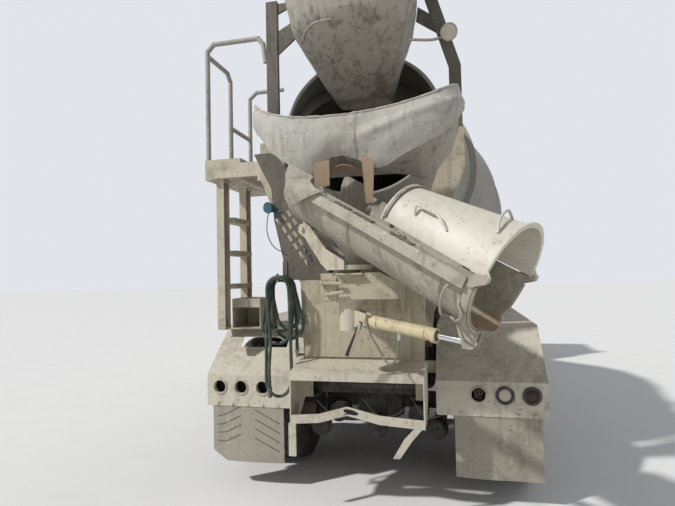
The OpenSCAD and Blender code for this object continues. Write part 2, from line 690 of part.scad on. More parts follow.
module rear_tower() {
    color("gainsboro") at_face() {
        both_sides() difference() {
            face_plate(leg_y0, leg_y1, [[300, frame_top + seat_gap], [rail_out, frame_top + seat_gap],
                [450, 1540],
                [550, 1730], [620, 2000], [700, 2200], [leg_out, 2330], [leg_out, leg_top], [leg_in, leg_top],
                [leg_in, 2300], [440, 1950], [380, 1600], [300, 1560]]);
            face_plate(leg_y0 + 8, leg_y1 - 8, [[308, frame_top - 1], [rail_out - 8, frame_top - 1],
                [442, 1541],
                [542, 1732], [612, 2003], [692, 2203], [leg_out - 8, 2332], [leg_out - 8, leg_top - 8],
                [leg_in + 8, leg_top - 8], [leg_in + 8, 2297], [448, 1948], [388, 1596], [308, 1552]]);
        }
        // Front sheet of the pedestal and the box beam across it
        face_plate(leg_y0 - 30, leg_y0, [[-400, 1560], [360, 1560], [345, box_top + 65],
            [-415, box_top + 65]]);
        box(-400, 400, leg_y0, leg_y1, 1420, 1560);
        box(-310, 310, leg_y0, leg_y1, frame_top + seat_gap, frame_top + 90);
        // Water pipe with the hose's ferrule
        tube_run([[-rail_out + 6, -40, pipe_z], [hose_lead[0][0], -40, pipe_z],
            [hose_lead[0][0], hose_lead[0][1], pipe_z],
            [hose_lead[0][0], hose_lead[0][1], pipe_z + 30]], 10);
        translate([hose_lead[0][0], hose_lead[0][1], pipe_z + 22])
            cylinder(h = hose_lead[0][2] - pipe_z - 22, r = hose_r + 4);
        both_sides() side_plate(rail_in + 20, rail_in + 32, [[leg_y1, frame_top + seat_gap],
            [roller_y - 250 - seat_gap, frame_top + seat_gap], [roller_y - 250 - seat_gap,
            frame_top + 120], [leg_y1, 1450]]);
    }
}

module guard_plate() {
    y = leg_y0 - seat_gap;
    color("dimgray") at_face() {
        difference() {
            face_plate(y - 4, y, [[-800, 2520], [-640, 2520], [-470, 2300], [-330, 1900], [-225, 1600],
                [-225, 1563],
                [-575, 1563], [-580, 1720], [-645, 2010], [-665, 2250]]);
            for (i = [0 : 5], j = [0 : 2]) translate([-612 + 42 * i + 40 * j, y, 2000 - 62 * i + 30 * j])
                rotate([0, -30, 0]) cube([24, 20, 58], center = true);
        }
        // Flat bar and hook for the hose
        box(hook_x - 17, hook_x + 17, y - 12, y - 3.9, hook_z - 15, 1700);
        translate([hook_x, y - 10, hook_z]) rotate([90, 0, 0]) cylinder(h = hook_len, r = hook_r);
        translate([hook_x, y - 1 - hook_len, hook_z - hook_r]) cylinder(h = 60, r = hook_r);
    }
}

deck_in = 945;
deck_front = 900;
deck_h = 160;

module platform() {
    color("gainsboro") at_face() {
        difference() {
            box(-body_half, -deck_in, 0, deck_front, platform_z, platform_z + deck_h);
            box(-body_half + 6, -deck_in - 6, 6, deck_front - 6, platform_z + 6, platform_z + deck_h + 1);
            for (i = [0 : 9], j = [0 : 2]) translate([-deck_in - 60 - 90 * j, 60 + 85 * i, platform_z - 1])
                cylinder(h = 20, r = 22, $fn = 24);
        }
        for (y = [-50, -20]) box(-deck_in - 1, -leg_out - seat_gap, y, y + 10, platform_z, platform_z + 110);
        box(-leg_out - 30, -leg_out - seat_gap, leg_y0 + 10, leg_y1, platform_z - 40, platform_z + 130);
        box(-deck_in - 1, -deck_in + 6, -50, 12, platform_z, platform_z + 110);
        box(-body_half + 60, -deck_in, -50, 6, platform_z, platform_z + 60);
    }
}

ladder_x = [-body_half + 94, -body_half + 157];
rung_zs = [1500, 1765, 2030];
// Step box: inner side, y from and to, top
step_box = [-body_half + 395, 130, 431, 1420];

module ladder() {
    color("gainsboro") at_face() {
        for (y = [[0, 100], [430, 530]]) difference() {
            box(ladder_x[0], ladder_x[1], y[0], y[1], fender_top + seat_gap, platform_z - seat_gap);
            box(ladder_x[0] + 8, ladder_x[1] + 1, y[0] + 8, y[1] - 8, fender_top + 20, platform_z - 20);
        }
        for (z = rung_zs) box(ladder_x[0], ladder_x[1] + 45, 100 - 1, 431, z, z + 40);
        // Open step box at its foot
        difference() {
            box(ladder_x[1] - 1, step_box[0], step_box[1], step_box[2], fender_top + seat_gap, step_box[3]);
            box(ladder_x[1] + 6, step_box[0] - 6, step_box[1] - 1, step_box[2] - 6, fender_top + 8,
                step_box[3] - 70);
        }
    }
}

hoop_x = -body_half + rail_tube_r + 1;
deck_top = platform_z + deck_h;

module handrails() {
    r = rail_tube_r;
    color("gainsboro") at_face() {
        tube_run([[hoop_x, 24, deck_top + seat_gap], [hoop_x, 24, handrail_top - 55],
            [hoop_x + 55, 24, handrail_top],
            [-790, 24, handrail_top], [-750, 24, handrail_top - 50], [hopper_left[0] - r - 1 - seat_gap, 24,
            handrail_top - 200]], r);
        tube_run([[hoop_x, 24, handrail_top - 90], [hoop_x, 380, handrail_top - 90],
            [hoop_x, 440, handrail_top - 150],
            [hoop_x, 440, deck_top + seat_gap]], r);
        tube_run([[hoop_x, 870, deck_top + seat_gap], [hoop_x, 870, handrail_top - 160],
            [hoop_x + 70, 870, handrail_top - 100], [-880, 870, handrail_top - 100]], r);
        bar([hoop_x, 440, 2900], [hoop_x, 870, 2900], r);
    }
}

// Wash hose: it comes up from its pipe, lies in a hank on the hook, and hangs in a long loop and a tail
hook_x = -565;
hook_r = 9;
hook_len = 170;
hank_y = [-88, -232];
hank_foot_z = 1150;
hank_low = [1280, 120, 72];
hank_top_r = 60;
hose_lead = [[-475, -100, 1060], [-475, -100, 1090], [-475, -100, 1120], [-475, -100, 1150]];
hose_loop = [[-665, -196, 1150], [-665, -196, 1100], [-665, -196, 1040], [-666, -196, 980], [-668, -197, 920],
    [-669, -198, 870], [-667, -200, 830], [-656, -202, 795], [-637, -204, 768], [-610, -206, 748],
    [-577, -208, 741],
    [-544, -210, 748], [-516, -212, 766], [-493, -214, 796], [-482, -216, 832], [-478, -217, 870],
    [-477, -218, 920],
    [-477, -219, 980], [-478, -220, 1040], [-478, -220, 1100], [-478, -220, 1150]];
hose_tail = [[-625, -220, 1150], [-625, -220, 1110], [-627, -224, 1060], [-630, -230, 1000],
    [-631, -238, 950],
    [-628, -245, 900], [-622, -250, 850], [-622, -250, 820]];

function hose_ring(p, i, r) = let (t = unit(p[min(i + 1, len(p) - 1)] - p[max(i - 1, 0)]),
    u = unit(cross(t, [0, 1, 0])), v = cross(t, u))
    [for (k = [0 : 9]) p[i] + r * (u * cos(36 * k) + v * sin(36 * k))];
module hose_tube(p, r) {
    n = len(p) - 1;
    polyhedron([for (i = [0 : n]) each hose_ring(p, i, r)], concat([[for (k = [0 : 9]) k]],
        [[for (k = [9 : -1 : 0]) 10 * n + k]],
        [for (i = [0 : n - 1], k = [0 : 9]) let (a = 10 * i + k, b = 10 * i + (k + 1) % 10)
            each [[a, a + 10, b], [b, a + 10, b + 10]]]));
}
module hank_outline(top_r, low_r) {
    hull() {
        translate([hook_x, hook_z + hook_r + seat_gap - hank_top_r]) circle(r = top_r);
        translate([hook_x, hank_low[0]]) circle(r = low_r);
    }
}
module hose_hank() {
    color("darkslategray") at_face() {
        translate([0, hank_y[0], 0]) rotate([90, 0, 0]) linear_extrude(hank_y[0] - hank_y[1]) difference() {
            hank_outline(hank_top_r + 2 * hose_r, hank_low[1]);
            hank_outline(hank_top_r, hank_low[2]);
        }
        // Where the lead, the long loop and the tail leave it
        for (q = [hose_lead[3], hose_loop[0], hose_loop[20], hose_tail[0]])
            box(q[0] - hose_r - 1, q[0] + hose_r + 1,
            max(q[1] - hose_r, hank_y[1]), min(q[1] + hose_r, hank_y[0]), hank_foot_z, 1250);
    }
}
module hose_runs() {
    color("darkslategray") at_face() {
        hose_tube(hose_lead, hose_r);
        hose_tube(hose_loop, hose_r);
        hose_tube(hose_tail, hose_r);
    }
}
module hose_end() {
    color("goldenrod") at_face() translate(hose_tail[7]) {
        translate([0, 0, -22]) cylinder(h = 22, r = hose_r + 5);
        translate([0, 0, -72]) cylinder(h = 51, r = hose_r + 1);
    }
}

// Hopper and collector

hopper_left = [-710, -620];
hopper_post_top = 3720;
hopper_y = 0;

function hopper_x(z) = lookup(z, [for (row = hopper_rows) [row[0], row[1]]]) + seat_gap;

module hopper_frame() {
    color("gainsboro") at_face() {
        box(hopper_left[0], hopper_left[1], hopper_y - 10, hopper_y + 30, leg_top + seat_gap,
            hopper_post_top);
        face_plate(hopper_y - 10, hopper_y + 30, [[660, leg_top + seat_gap], [745, leg_top + seat_gap],
            [745, 3060],
            [570, 3640], [490, 3620], [660, 3060]]);
        // Gussets to the hopper's sides
        face_plate(hopper_y, hopper_y + 20, [[-621, 3300], [-621, 3480], [-hopper_x(3560), 3560],
            [-hopper_x(3440), 3440]]);
        face_plate(hopper_y, hopper_y + 20, [[-621, 3620], [-621, 3700], [-hopper_x(3700), 3700],
            [-hopper_x(3680), 3680]]);
        face_plate(hopper_y, hopper_y + 20, [[620, 3290], [575, 3430], [hopper_x(3520), 3520],
            [hopper_x(3420), 3420]]);
    }
}

hopper_rows = [
    // height, half width, rear edge, front edge, corner radius
    [3850, 505, -565, 60, 90],
    [3330, 425, -390, 165, 120],
    [3130, 320, -150, 272, 130],
    [2950, 215, 180, 440, 110]];

module hopper_section(row, inset) {
    translate([0, 0, row[0]]) linear_extrude(1) polygon(rounded([
        [-row[1] + inset, row[2] + inset, row[4]], [row[1] - inset, row[2] + inset, row[4]],
        [row[1] - inset, row[3] - inset, row[4]], [-row[1] + inset, row[3] - inset, row[4]]], 6));
}
module charge_hopper() {
    color("lightgray") at_face() difference() {
        for (i = [0 : 2]) hull() {
            hopper_section(hopper_rows[i], 0);
            hopper_section(hopper_rows[i + 1], 0);
        }
        for (i = [0 : 2]) hull() {
            translate([0, 0, i == 0 ? 2 : 0]) hopper_section(hopper_rows[i], 6);
            translate([0, 0, i == 2 ? -2 : 0]) hopper_section(hopper_rows[i + 1], 6);
        }
    }
}

// V-shaped collector under the drum's mouth: [half width, height] of its lower edge, upwards
collector_back = -420;
collector_front = leg_y0 - 8;
collector_t = 6;
collector_rows = [
    // half width, height of the lower edge
    [200, 2210], [330, 2300], [460, 2390], [700, 2520], [722, 2680]];
// The turning chute's head passes outside this radius round its post, up to this height
spout_r = 245;
spout_z = 2332;

module collector() {
    lower = concat([for (i = [4 : -1 : 0]) [-collector_rows[i][0], collector_rows[i][1]]], collector_rows);
    inner = concat([for (i = [4 : -1 : 0]) [-collector_rows[i][0] + collector_t,
        collector_rows[i][1] + collector_t]],
        [for (i = [0 : 4]) [collector_rows[i][0] - collector_t, collector_rows[i][1] + collector_t]]);
    color("lightgray") at_face() {
        // Folded side sheets, open in the middle
        difference() {
            face_plate(collector_back, collector_front, concat(lower, [[722, 2850], [700, 2850],
                [-690, 2790], [-722, 2790]]));
            face_plate(collector_back + collector_t, collector_front + 1, concat(inner, [[716, 2870],
                [-716, 2860]]));
            box(-200, 150, collector_back + collector_t, collector_front + 1, 2000, 2300);
            face_plate(collector_back - 1, collector_back + collector_t + 1, [[-688, 2901],
                [-640, 2735], [-300, 2668],
                [0, 2650], [300, 2685], [640, 2775], [700, 2901]]);
            difference() {
                box(-1000, 1000, post_y - 300, collector_front + 100, 1900, spout_z);
                translate([0, post_y, 1800]) cylinder(h = 700, r = spout_r);
            }
        }
        // Outlet strips and the ties to the tower
        face_plate(collector_back + 5, collector_back + 12, [[-228, 2330], [-130, 2330], [-122, 2180],
            [-190, 2165],
            [-224, 2200]]);
        face_plate(collector_back + 5, collector_back + 12, [[98, 2330], [168, 2330], [160, 2052],
            [112, 2060]]);
        both_sides() box(690, 722, collector_front - 1, leg_y0 - seat_gap, 2560, 2600);
    }
}

// Discharge chute. Its plan direction is x, its far end is downhill.

module over_chute() {
    translate([0, post_y, 0]) rotate([0, 0, -chute_turn]) children();
}
chute_s0 = -286;
lip_h = 30;
lip_z0 = 2124;
function axis_z(s) = lip_z0 - lip_h / cos(chute_slope) - s * tan(chute_slope);
module on_chute() {
    over_chute() translate([chute_s0, 0, axis_z(chute_s0)]) rotate([0, chute_slope, 0]) children();
}
base_s = 120;
base_z = 1310;
eye_s = 830;
eye_z = 1220;
pin_r = 15;
eye_hole_r = 20.5;
lug_gap = 21;

// Bearing box of the turning post: x from and to, z from and to, and the radius of the post
bearing = [-85, 320, 1440, 1605];
turret_r = 70;

module chute_post() {
    color("gainsboro") at_face() {
        difference() {
            union() {
                face_plate(post_y - turret_r - 25, leg_y0 - 30 - seat_gap, [[bearing[0], bearing[2]],
                    [bearing[1], bearing[2]], [bearing[1], bearing[3] - 55], [bearing[1] - 110, bearing[3]],
                    [bearing[0], bearing[3]]]);
                box(bearing[0] - 78, bearing[0] + 1, post_y - turret_r - 31, post_y - turret_r - 19,
                    1427, bearing[3]);
                box(bearing[0] - 78, bearing[0] + 1, post_y - 40, post_y + 40, bearing[3] - 12, bearing[3]);
                for (x = [bearing[0] + 5, bearing[1] - 17]) side_plate(x, x + 12, [[post_y + 120,
                    bearing[2] + 1],
                    [leg_y0 - 30 - seat_gap, bearing[2] + 1], [leg_y0 - 30 - seat_gap, 1290]]);
            }
            translate([0, post_y, 1300]) cylinder(h = 400, r = turret_r + run_gap);
        }
    }
}

module chute_turret() {
    color("gainsboro") at_face() over_chute() {
        translate([0, 0, 1240]) cylinder(h = table_z - 1240, r = turret_r);
        translate([0, 0, bearing[2] - 18 - run_gap]) cylinder(h = 18, r = turret_r + 22);
        translate([0, 0, table_z - 30]) cylinder(h = 30, r = 150);
        for (s = sides) side_lug(s * 140, [[80, table_z - 29], [80, table_z + 25], [-70, table_z + 105],
            [tilt_pin_s() + 65, tilt_pin_z + 10], [tilt_pin_s() + 25, tilt_pin_z + 38],
            [tilt_pin_s() - 30, tilt_pin_z + 32], [tilt_pin_s() - 42, tilt_pin_z - 15],
            [tilt_pin_s() + 20, tilt_pin_z - 60], [-110, table_z + 10], [-60, table_z - 29]]);
        for (s = sides) side_lug(s * (lug_gap + 6), [[30, 1260], [30, 1380], [base_s + 30, base_z + 40],
            [base_s + 35, base_z - 30]]);
        translate([tilt_pin_s(), 0, tilt_pin_z]) rotate([90, 0, 0])
            cylinder(h = 330, r = pin_r, center = true);
        translate([base_s, 0, base_z]) rotate([90, 0, 0]) cylinder(h = 70, r = pin_r, center = true);
        // Lock lever hanging from the lift cylinder's lug
        bar([115, -38, 1295], [27, -42, 1095], 10);
    }
}
function tilt_pin_s() = -tilt_pin_back;

// A plate 12 thick standing along the chute at y, outline [s, z]
module side_lug(y, points) {
    translate([0, y + 6, 0]) rotate([90, 0, 0]) linear_extrude(12) polygon(points);
}

fold_x = chute_len + 30;
fold_z = lip_h + 8;
hinge_r = 10;

module trough(r, x0, x1, lip, t) {
    translate([x0, 0, 0]) rotate([0, 90, 0]) difference() {
        union() {
            cylinder(h = x1 - x0, r = r);
            translate([-lip, -r, 0]) cube([lip, 2 * r, x1 - x0]);
        }
        translate([0, 0, -1]) cylinder(h = x1 - x0 + 2, r = r - t);
        translate([-r - lip, -r + t, -1]) cube([r + lip, 2 * (r - t), x1 - x0 + 2]);
        translate([-r - lip - 1, -r - 1, -1]) cube([r + 1, 2 * r + 2, x1 - x0 + 2]);
    }
}

module main_chute() {
    color("gainsboro") at_face() {
        difference() {
            on_chute() {
                trough(trough_r, 0, chute_len, lip_h, sheet_t);
                trough(trough_r, 0, 240, lip_h + 50, sheet_t);
                // Angle-iron lips and the end ring
                for (s = sides) translate([240, s * (trough_r + 12) - 15, lip_h - 40])
                    cube([chute_len - 300, 30, 6]);
                trough(trough_r + 22, chute_len - 30, chute_len - 16, lip_h, 24);
                for (s = sides) {
                    side_lug(s * (trough_r + 28), [[chute_len - 80, -30], [chute_len - 80, 20],
                        [fold_x - 10, fold_z + 18],
                        [fold_x + 16, fold_z + 14], [fold_x + 16, fold_z - 16], [chute_len - 20, -30]]);
                    translate([fold_x, s * (trough_r + 18), fold_z]) rotate([90, 0, 0])
                        cylinder(h = 32, r = hinge_r, center = true);
                }
            }
            over_chute() difference() {
                translate([-700, -500, 1500]) cube([650, 1000, 1200]);
                translate([0, 0, 1400]) cylinder(h = 1400, r = 400);
            }
        }
        over_chute() {
            // Tilt eyes under the head and the lift lugs under the lower end
            difference() {
                for (s = sides) side_lug(s * 128, [[tilt_pin_s() - 34, tilt_pin_z - 10],
                    [tilt_pin_s() + 34, tilt_pin_z - 20],
                    [tilt_pin_s() + 60, axis_z(tilt_pin_s() + 60) - 285],
                    [tilt_pin_s() - 5, axis_z(tilt_pin_s()) - 280]]);
                translate([tilt_pin_s(), 0, tilt_pin_z]) rotate([90, 0, 0])
                    cylinder(h = 300, r = pin_r + run_gap, center = true);
            }
            for (s = sides) side_lug(s * (lug_gap + 6), [[eye_s - 30, eye_z - 30], [eye_s + 30, eye_z - 30],
                [eye_s + 70, axis_z(eye_s + 70) - trough_r / cos(chute_slope) + 3],
                [eye_s - 80, axis_z(eye_s - 80) - trough_r / cos(chute_slope) + 3]]);
            translate([eye_s, 0, eye_z]) rotate([90, 0, 0]) cylinder(h = 70, r = pin_r, center = true);
        }
    }
}

module fold_chute() {
    color("cornsilk") at_face() on_chute() translate([fold_x, 0, fold_z]) for (s = sides) difference() {
        side_lug(s * (trough_r + 11), [[-90, 1], [-90, 50], [-20, 50], [14, 14], [16, -10], [-12, -16],
            [-26, 1]]);
        rotate([90, 0, 0]) cylinder(h = 900, r = hinge_r + run_gap, center = true);
    }
    color("cornsilk") at_face() on_chute() translate([fold_x, 0, fold_z]) difference() {
        union() {
            translate([-12, 0, 0]) rotate([0, -90, 0]) cylinder(h = fold_len, r1 = trough_r, r2 = fold_end_r);
            translate([-12, 0, 0]) rotate([0, -90, 0]) cylinder(h = 14, r = trough_r + 20);
            translate([-fold_len, 0, 0]) rotate([0, -90, 0]) cylinder(h = 12, r = fold_end_r + 14);
        }
        translate([-11, 0, 0]) rotate([0, -90, 0]) cylinder(h = fold_len + 2, r1 = trough_r - sheet_t,
            r2 = fold_end_r - sheet_t);
        translate([-fold_len - 100, -400, -400]) cube([fold_len + 200, 800, 400]);
    }
}

barrel_len = 500;
module over_cylinder() {
    over_chute() translate([base_s, 0, base_z]) rotate([0, 90 - atan2(eye_z - base_z, eye_s - base_s),
        0]) children();
}
cylinder_len = norm([eye_s - base_s, eye_z - base_z]);

module eye_end(r, hole) {
    rotate([90, 0, 0]) difference() {
        cylinder(h = 2 * lug_gap - 4, r = r, center = true);
        cylinder(h = 60, r = hole, center = true);
    }
}
// Where the barrel's bore starts, and the rod's travel behind it when the chute hangs level
bore_start = 84;
rod_room = 28;

module lift_barrel() {
    color("khaki") at_face() over_cylinder() {
        eye_end(34, pin_r + run_gap);
        translate([-19, 4 - lug_gap, 26]) cube([38, 2 * lug_gap - 8, 40]);
        difference() {
            translate([0, 0, 64]) cylinder(h = barrel_len - 64, r = 38);
            translate([0, 0, bore_start]) cylinder(h = barrel_len, r = 20 + run_gap);
        }
    }
}
module lift_rod() {
    color("silver") at_face() over_cylinder() {
        translate([0, 0, bore_start + rod_room]) cylinder(h = cylinder_len - bore_start - rod_room - 24,
            r = 20);
        translate([0, 0, cylinder_len]) eye_end(34, eye_hole_r);
    }
}

// Cab

cab_front = front_y - 250;
cab_half = cab_w / 2;
split_y = cab_front + 10;
slope_len = 911;
function screen(t, o) = [cab_front - 60 - 0.296 * t + 0.955 * o, 1830 + 0.955 * t + 0.296 * o];
// Lower front corner of the cab, over the fender's rear end
fender_peak = 1262;
notch_z = fender_peak + 33;
cab_outline = [[cab_back, cab_floor], [cab_front - 520, cab_floor], [cab_front - 480, notch_z],
    [cab_front, notch_z],
    [cab_front, 1800], screen(0, 0), screen(slope_len, 0), [cab_front - 450, cab_roof],
    [cab_back + 70, cab_roof],
    [cab_back, cab_roof - 90]];
cab_inset = [[cab_back + cab_wall, cab_floor + cab_wall], [cab_front - 550, cab_floor + cab_wall],
    [cab_front - 510, notch_z + cab_wall], [cab_front - cab_wall, notch_z + cab_wall],
    [cab_front - cab_wall, 1790],
    screen(0, -cab_wall), screen(slope_len - 20, -cab_wall), [cab_front - 460, cab_roof - cab_wall],
    [cab_back + 85, cab_roof - cab_wall], [cab_back + cab_wall, cab_roof - 105]];
door_back = cab_back + 330;
function door_outline(g) = [[door_back + g, 1200 + g], [cab_front - 545 - g, 1200 + g],
    [cab_front - 505 - g, notch_z + 50 + g],
    [cab_front - 110 - g, notch_z + 50 + g], [cab_front - 110 - g, 1800],
    [cab_front - 345 - g, 2640 - g], [door_back + g, 2640 - g]];
function window_outline(g) = [[door_back + 90 + g, 1880 + g], [cab_front - 215 - g, 1880 + g],
    [cab_front - 405 - g, 2560 - g], [door_back + 90 + g, 2560 - g]];

module cab_shell() {
    color("gainsboro") at_face() {
        difference() {
            side_plate(-cab_half, cab_half, cab_outline);
            side_plate(-cab_half + cab_wall, cab_half - cab_wall, cab_inset);
            side_plate(-cab_half - 1, cab_half + 1, door_outline(0));
            side_plate(-880, 880, [screen(80, 60), screen(800, 60), screen(800, -80), screen(80, -80)]);
            box(-620, 620, cab_back - 1, cab_back + cab_wall + 1, 1980, 2550);
        }
        for (x = [-400, 340]) box(x, x + 60, cab_back + 80, cab_back + 1100, frame_top + seat_gap,
            cab_floor + 1);
    }
}
module cab_glass() {
    color([0.2, 0.25, 0.28, 0.5]) at_face() {
        side_plate(-880 + seat_gap, 880 - seat_gap, [screen(80.3, -18), screen(799.7, -18), screen(799.7,
            -24),
            screen(80.3, -24)]);
        box(-620 + seat_gap, 620 - seat_gap, cab_back + 18, cab_back + 24, 1980 + seat_gap, 2550 - seat_gap);
    }
}
module cab_interior() {
    color("dimgray") at_face() {
        floor_z = cab_floor + cab_wall + seat_gap;
        for (s = sides) {
            box(s * 500 - 240, s * 500 + 240, cab_back + 330, cab_back + 850, floor_z, floor_z + 330);
            side_plate(s * 500 - 230, s * 500 + 230, [[cab_back + 300, floor_z + 200],
                [cab_back + 480, floor_z + 290],
                [cab_back + 340, 2130], [cab_back + 190, 2130]]);
        }
        side_plate(-900, 900, [[cab_front - 60, 1500], [cab_front - 60, 1770], [cab_front - 120, 1795],
            [cab_front - 330, 1840],
            [cab_front - 400, 1700], [cab_front - 250, 1500]]);
        box(-150, 150, cab_front - 330, cab_front - 60, notch_z + cab_wall + seat_gap, 1501);
        translate([-500, cab_front - 460, 1880]) rotate([60, 0, 0]) rotate_extrude() translate([225, 0])
            circle(r = 16);
        for (a = [90, 210, 330]) translate([-500, cab_front - 460, 1880]) rotate([60, 0, 0]) rotate(a)
            rotate([0, 90, 0]) cylinder(h = 222, r = 9, $fn = 24);
        bar([-500, cab_front - 460, 1880], [-500, cab_front - 340, 1780], 30);
    }
}

// Fixed quarter fender behind each front wheel
arch_r = 650;
fender_side = body_half - 10;
front_fender = [[cab_front - 510, 800], [cab_front - 490, 1080], [cab_front - 370, fender_peak],
    [front_y + 380, fender_peak], [bumper_y - 330, 1190], [bumper_y - 190, 1060], [bumper_y - 170, 800]];
front_fender_in = [[cab_front - 498, 799], [cab_front - 478, 1076], [cab_front - 366, fender_peak - 12],
    [front_y + 378, fender_peak - 12], [bumper_y - 338, 1181], [bumper_y - 202, 1055], [bumper_y - 182, 799]];

module front_fender_side() {
    difference() {
        side_plate(620, fender_side, front_fender);
        side_plate(619, fender_side - 20, front_fender_in);
        x_cylinder(600, 1300, front_y, front_tyre_r, arch_r);
    }
}
module quarter_fenders() {
    color("gainsboro") at_face() both_sides() {
        intersection() {
            front_fender_side();
            box(0, 1300, cab_front - 700, split_y - 20, 700, 1400);
        }
        box(rail_out + seat_gap, 640, cab_front - 505, cab_front - 465, 880, 960);
    }
}

hood_rows = [
    // forward position, half width, bottom, top, corner radius
    [bumper_y - 140, 520, 800, 1480, 70],
    [bumper_y - 230, 575, 800, 1580, 90],
    [split_y, 840, 1280, 1815, 160]];

module hood_section(row, inset) {
    translate([0, row[0], 0]) rotate([90, 0, 0]) linear_extrude(1) polygon(rounded([
        [-row[1] + inset, row[2] - (inset > 0 ? 10 : 0), 5], [row[1] - inset,
        row[2] - (inset > 0 ? 10 : 0), 5],
        [row[1] - inset, row[3] - inset, row[4]], [-row[1] + inset, row[3] - inset, row[4]]], 6));
}
module hood() {
    color("gainsboro") at_face() {
        difference() {
            union() {
                for (i = [0, 1]) hull() {
                    hood_section(hood_rows[i], 0);
                    hood_section(hood_rows[i + 1], 0);
                }
                intersection() {
                    both_sides() front_fender_side();
                    box(-1300, 1300, split_y, bumper_y, 700, 1400);
                }
            }
            for (i = [0, 1]) hull() {
                translate([0, i == 0 ? -12 : 0, 0]) hood_section(hood_rows[i], 14);
                translate([0, i == 1 ? -20 : 0, 0]) hood_section(hood_rows[i + 1], 14);
            }
            x_cylinder(-1300, -600, front_y, front_tyre_r, arch_r);
            x_cylinder(600, 1300, front_y, front_tyre_r, arch_r);
            box(-440, 440, bumper_y - 160, bumper_y - 130, 850, 1400);
        }
        // Grille bars and frame
        for (i = [0 : 10]) box(-441, 441, bumper_y - 152, bumper_y - 144, 870 + 50 * i, 884 + 50 * i);
        for (x = [-220, 0, 220]) box(x - 5, x + 5, bumper_y - 150, bumper_y - 141, 849, 1401);
        for (s = sides) difference() {
            side_plate(s * hinge_x - 20, s * hinge_x + 16, [[bumper_y - 160, 802], [bumper_y - 160, 870],
                [bumper_y - 138, 870], [hinge_y + 17, hinge_z + 12], [hinge_y + 17, hinge_z - 12],
                [hinge_y - 12, hinge_z - 18]]);
            x_cylinder(s * hinge_x - 21, s * hinge_x + 17, hinge_y, hinge_z, hinge_pin_r + run_gap);
        }
    }
}
module headlamps() {
    color("whitesmoke") at_face() both_sides()
        side_plate(700, 950, [[bumper_y - 175.8, 880], [bumper_y - 186.6, 1020], [bumper_y - 140, 1005],
            [bumper_y - 132, 885]]);
}

module door(s) {
    mirror([s < 0 ? 1 : 0, 0, 0]) {
        difference() {
            side_plate(cab_half - cab_wall, cab_half, door_outline(door_gap));
            side_plate(cab_half - cab_wall - 1, cab_half + 1, window_outline(0));
        }
        // Hinge knuckles, handle, and the mirror on its two arms
        for (z = [notch_z + 125, 1740]) box(cab_half - 15, cab_half, cab_front - 119,
            cab_front - 110 - seat_gap, z, z + 60);
        box(cab_half - 1, cab_half + 25, door_back + 60, door_back + 180, 1780, 1815);
        for (z = [1980, 2480]) bar([cab_half - 10, cab_front - 250 - (z - 1980) * 0.28, z],
            [cab_half + 190, cab_front - 330, z], 10);
        box(cab_half + 170, cab_half + 270, cab_front - 350, cab_front - 300, 1960, 2500);
    }
}
module door_left() {
    color("gainsboro") at_face() door(-1);
}
module door_right() {
    color("gainsboro") at_face() door(1);
}
module door_glass(s) {
    mirror([s < 0 ? 1 : 0, 0, 0]) side_plate(cab_half - 26, cab_half - 20, window_outline(seat_gap));
}
module door_glass_left() {
    color([0.2, 0.25, 0.28, 0.5]) at_face() door_glass(-1);
}
module door_glass_right() {
    color([0.2, 0.25, 0.28, 0.5]) at_face() door_glass(1);
}

// Tanks and boxes along the frame

module fuel_tank() {
    color("silver") at_face() {
        translate([-780, cab_back + 80, 720]) rotate([-90, 0, 0]) cylinder(h = 850, r = 290);
        for (y = [200, 700]) box(-560, -rail_out - seat_gap, cab_back + y, cab_back + y + 60,
            frame_bottom + 40, frame_top - 60);
    }
}
module battery_box() {
    color("silver") at_face() {
        box(520, 1060, cab_back + 80, cab_back + 840, 440, 980);
        for (y = [200, 700]) box(rail_out + seat_gap, 521, cab_back + y, cab_back + y + 60,
            frame_bottom + 40, frame_top - 60);
    }
}
module water_tank() {
    color("gainsboro") at_face() {
        translate([-790, cab_back - 380, 1290]) cylinder(h = 1000, r = 260);
        box(-1030, -385, cab_back - 560, cab_back - 200, 1190, 1291);
        box(-rail_out, -385, cab_back - 560, cab_back - 200, frame_top + seat_gap, 1191);
    }
}
module exhaust_stack() {
    color("silver") at_face() {
        translate([900, cab_back - 130, 1300]) cylinder(h = 1000, r = 95);
        translate([900, cab_back - 130, 2299]) cylinder(h = 760, r = 60);
        box(rail_in + 20, 960, cab_back - 180, cab_back - 80, 1240, 1301);
        box(rail_in + 20, rail_out, cab_back - 180, cab_back - 80, frame_top + seat_gap, 1241);
    }
}

frame_rails();
front_bumper();
engine_block();
cab_shell();
cab_glass();
cab_interior();
quarter_fenders();
fuel_tank();
battery_box();
water_tank();
exhaust_stack();
drive_pedestal();
roller_pedestal();
rear_fenders();
mud_flaps();
rear_apron();
tail_lamps();
rear_tower();
guard_plate();
platform();
ladder();
hose_hank();
hose_runs();
hose_end();
handrails();
hopper_frame();
charge_hopper();
collector();
chute_post();
front_axle();
rear_axles();
drum_shell();
drum_flights();
roller_left();
roller_right();
chute_turret();
main_chute();
fold_chute();
lift_barrel();
lift_rod();
hood();
headlamps();
door_left();
door_right();
door_glass_left();
door_glass_right();
knuckle_left();
knuckle_right();
tyre_front_left();
rim_front_left();
tyre_front_right();
rim_front_right();
tyres_rear_left();
rims_rear_left();
tyres_rear_right();
rims_rear_right();
tyres_mid_left();
rims_mid_left();
tyres_mid_right();
rims_mid_right();
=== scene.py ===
import bpy, json, math
import numpy as np
from mathutils import Matrix, Vector


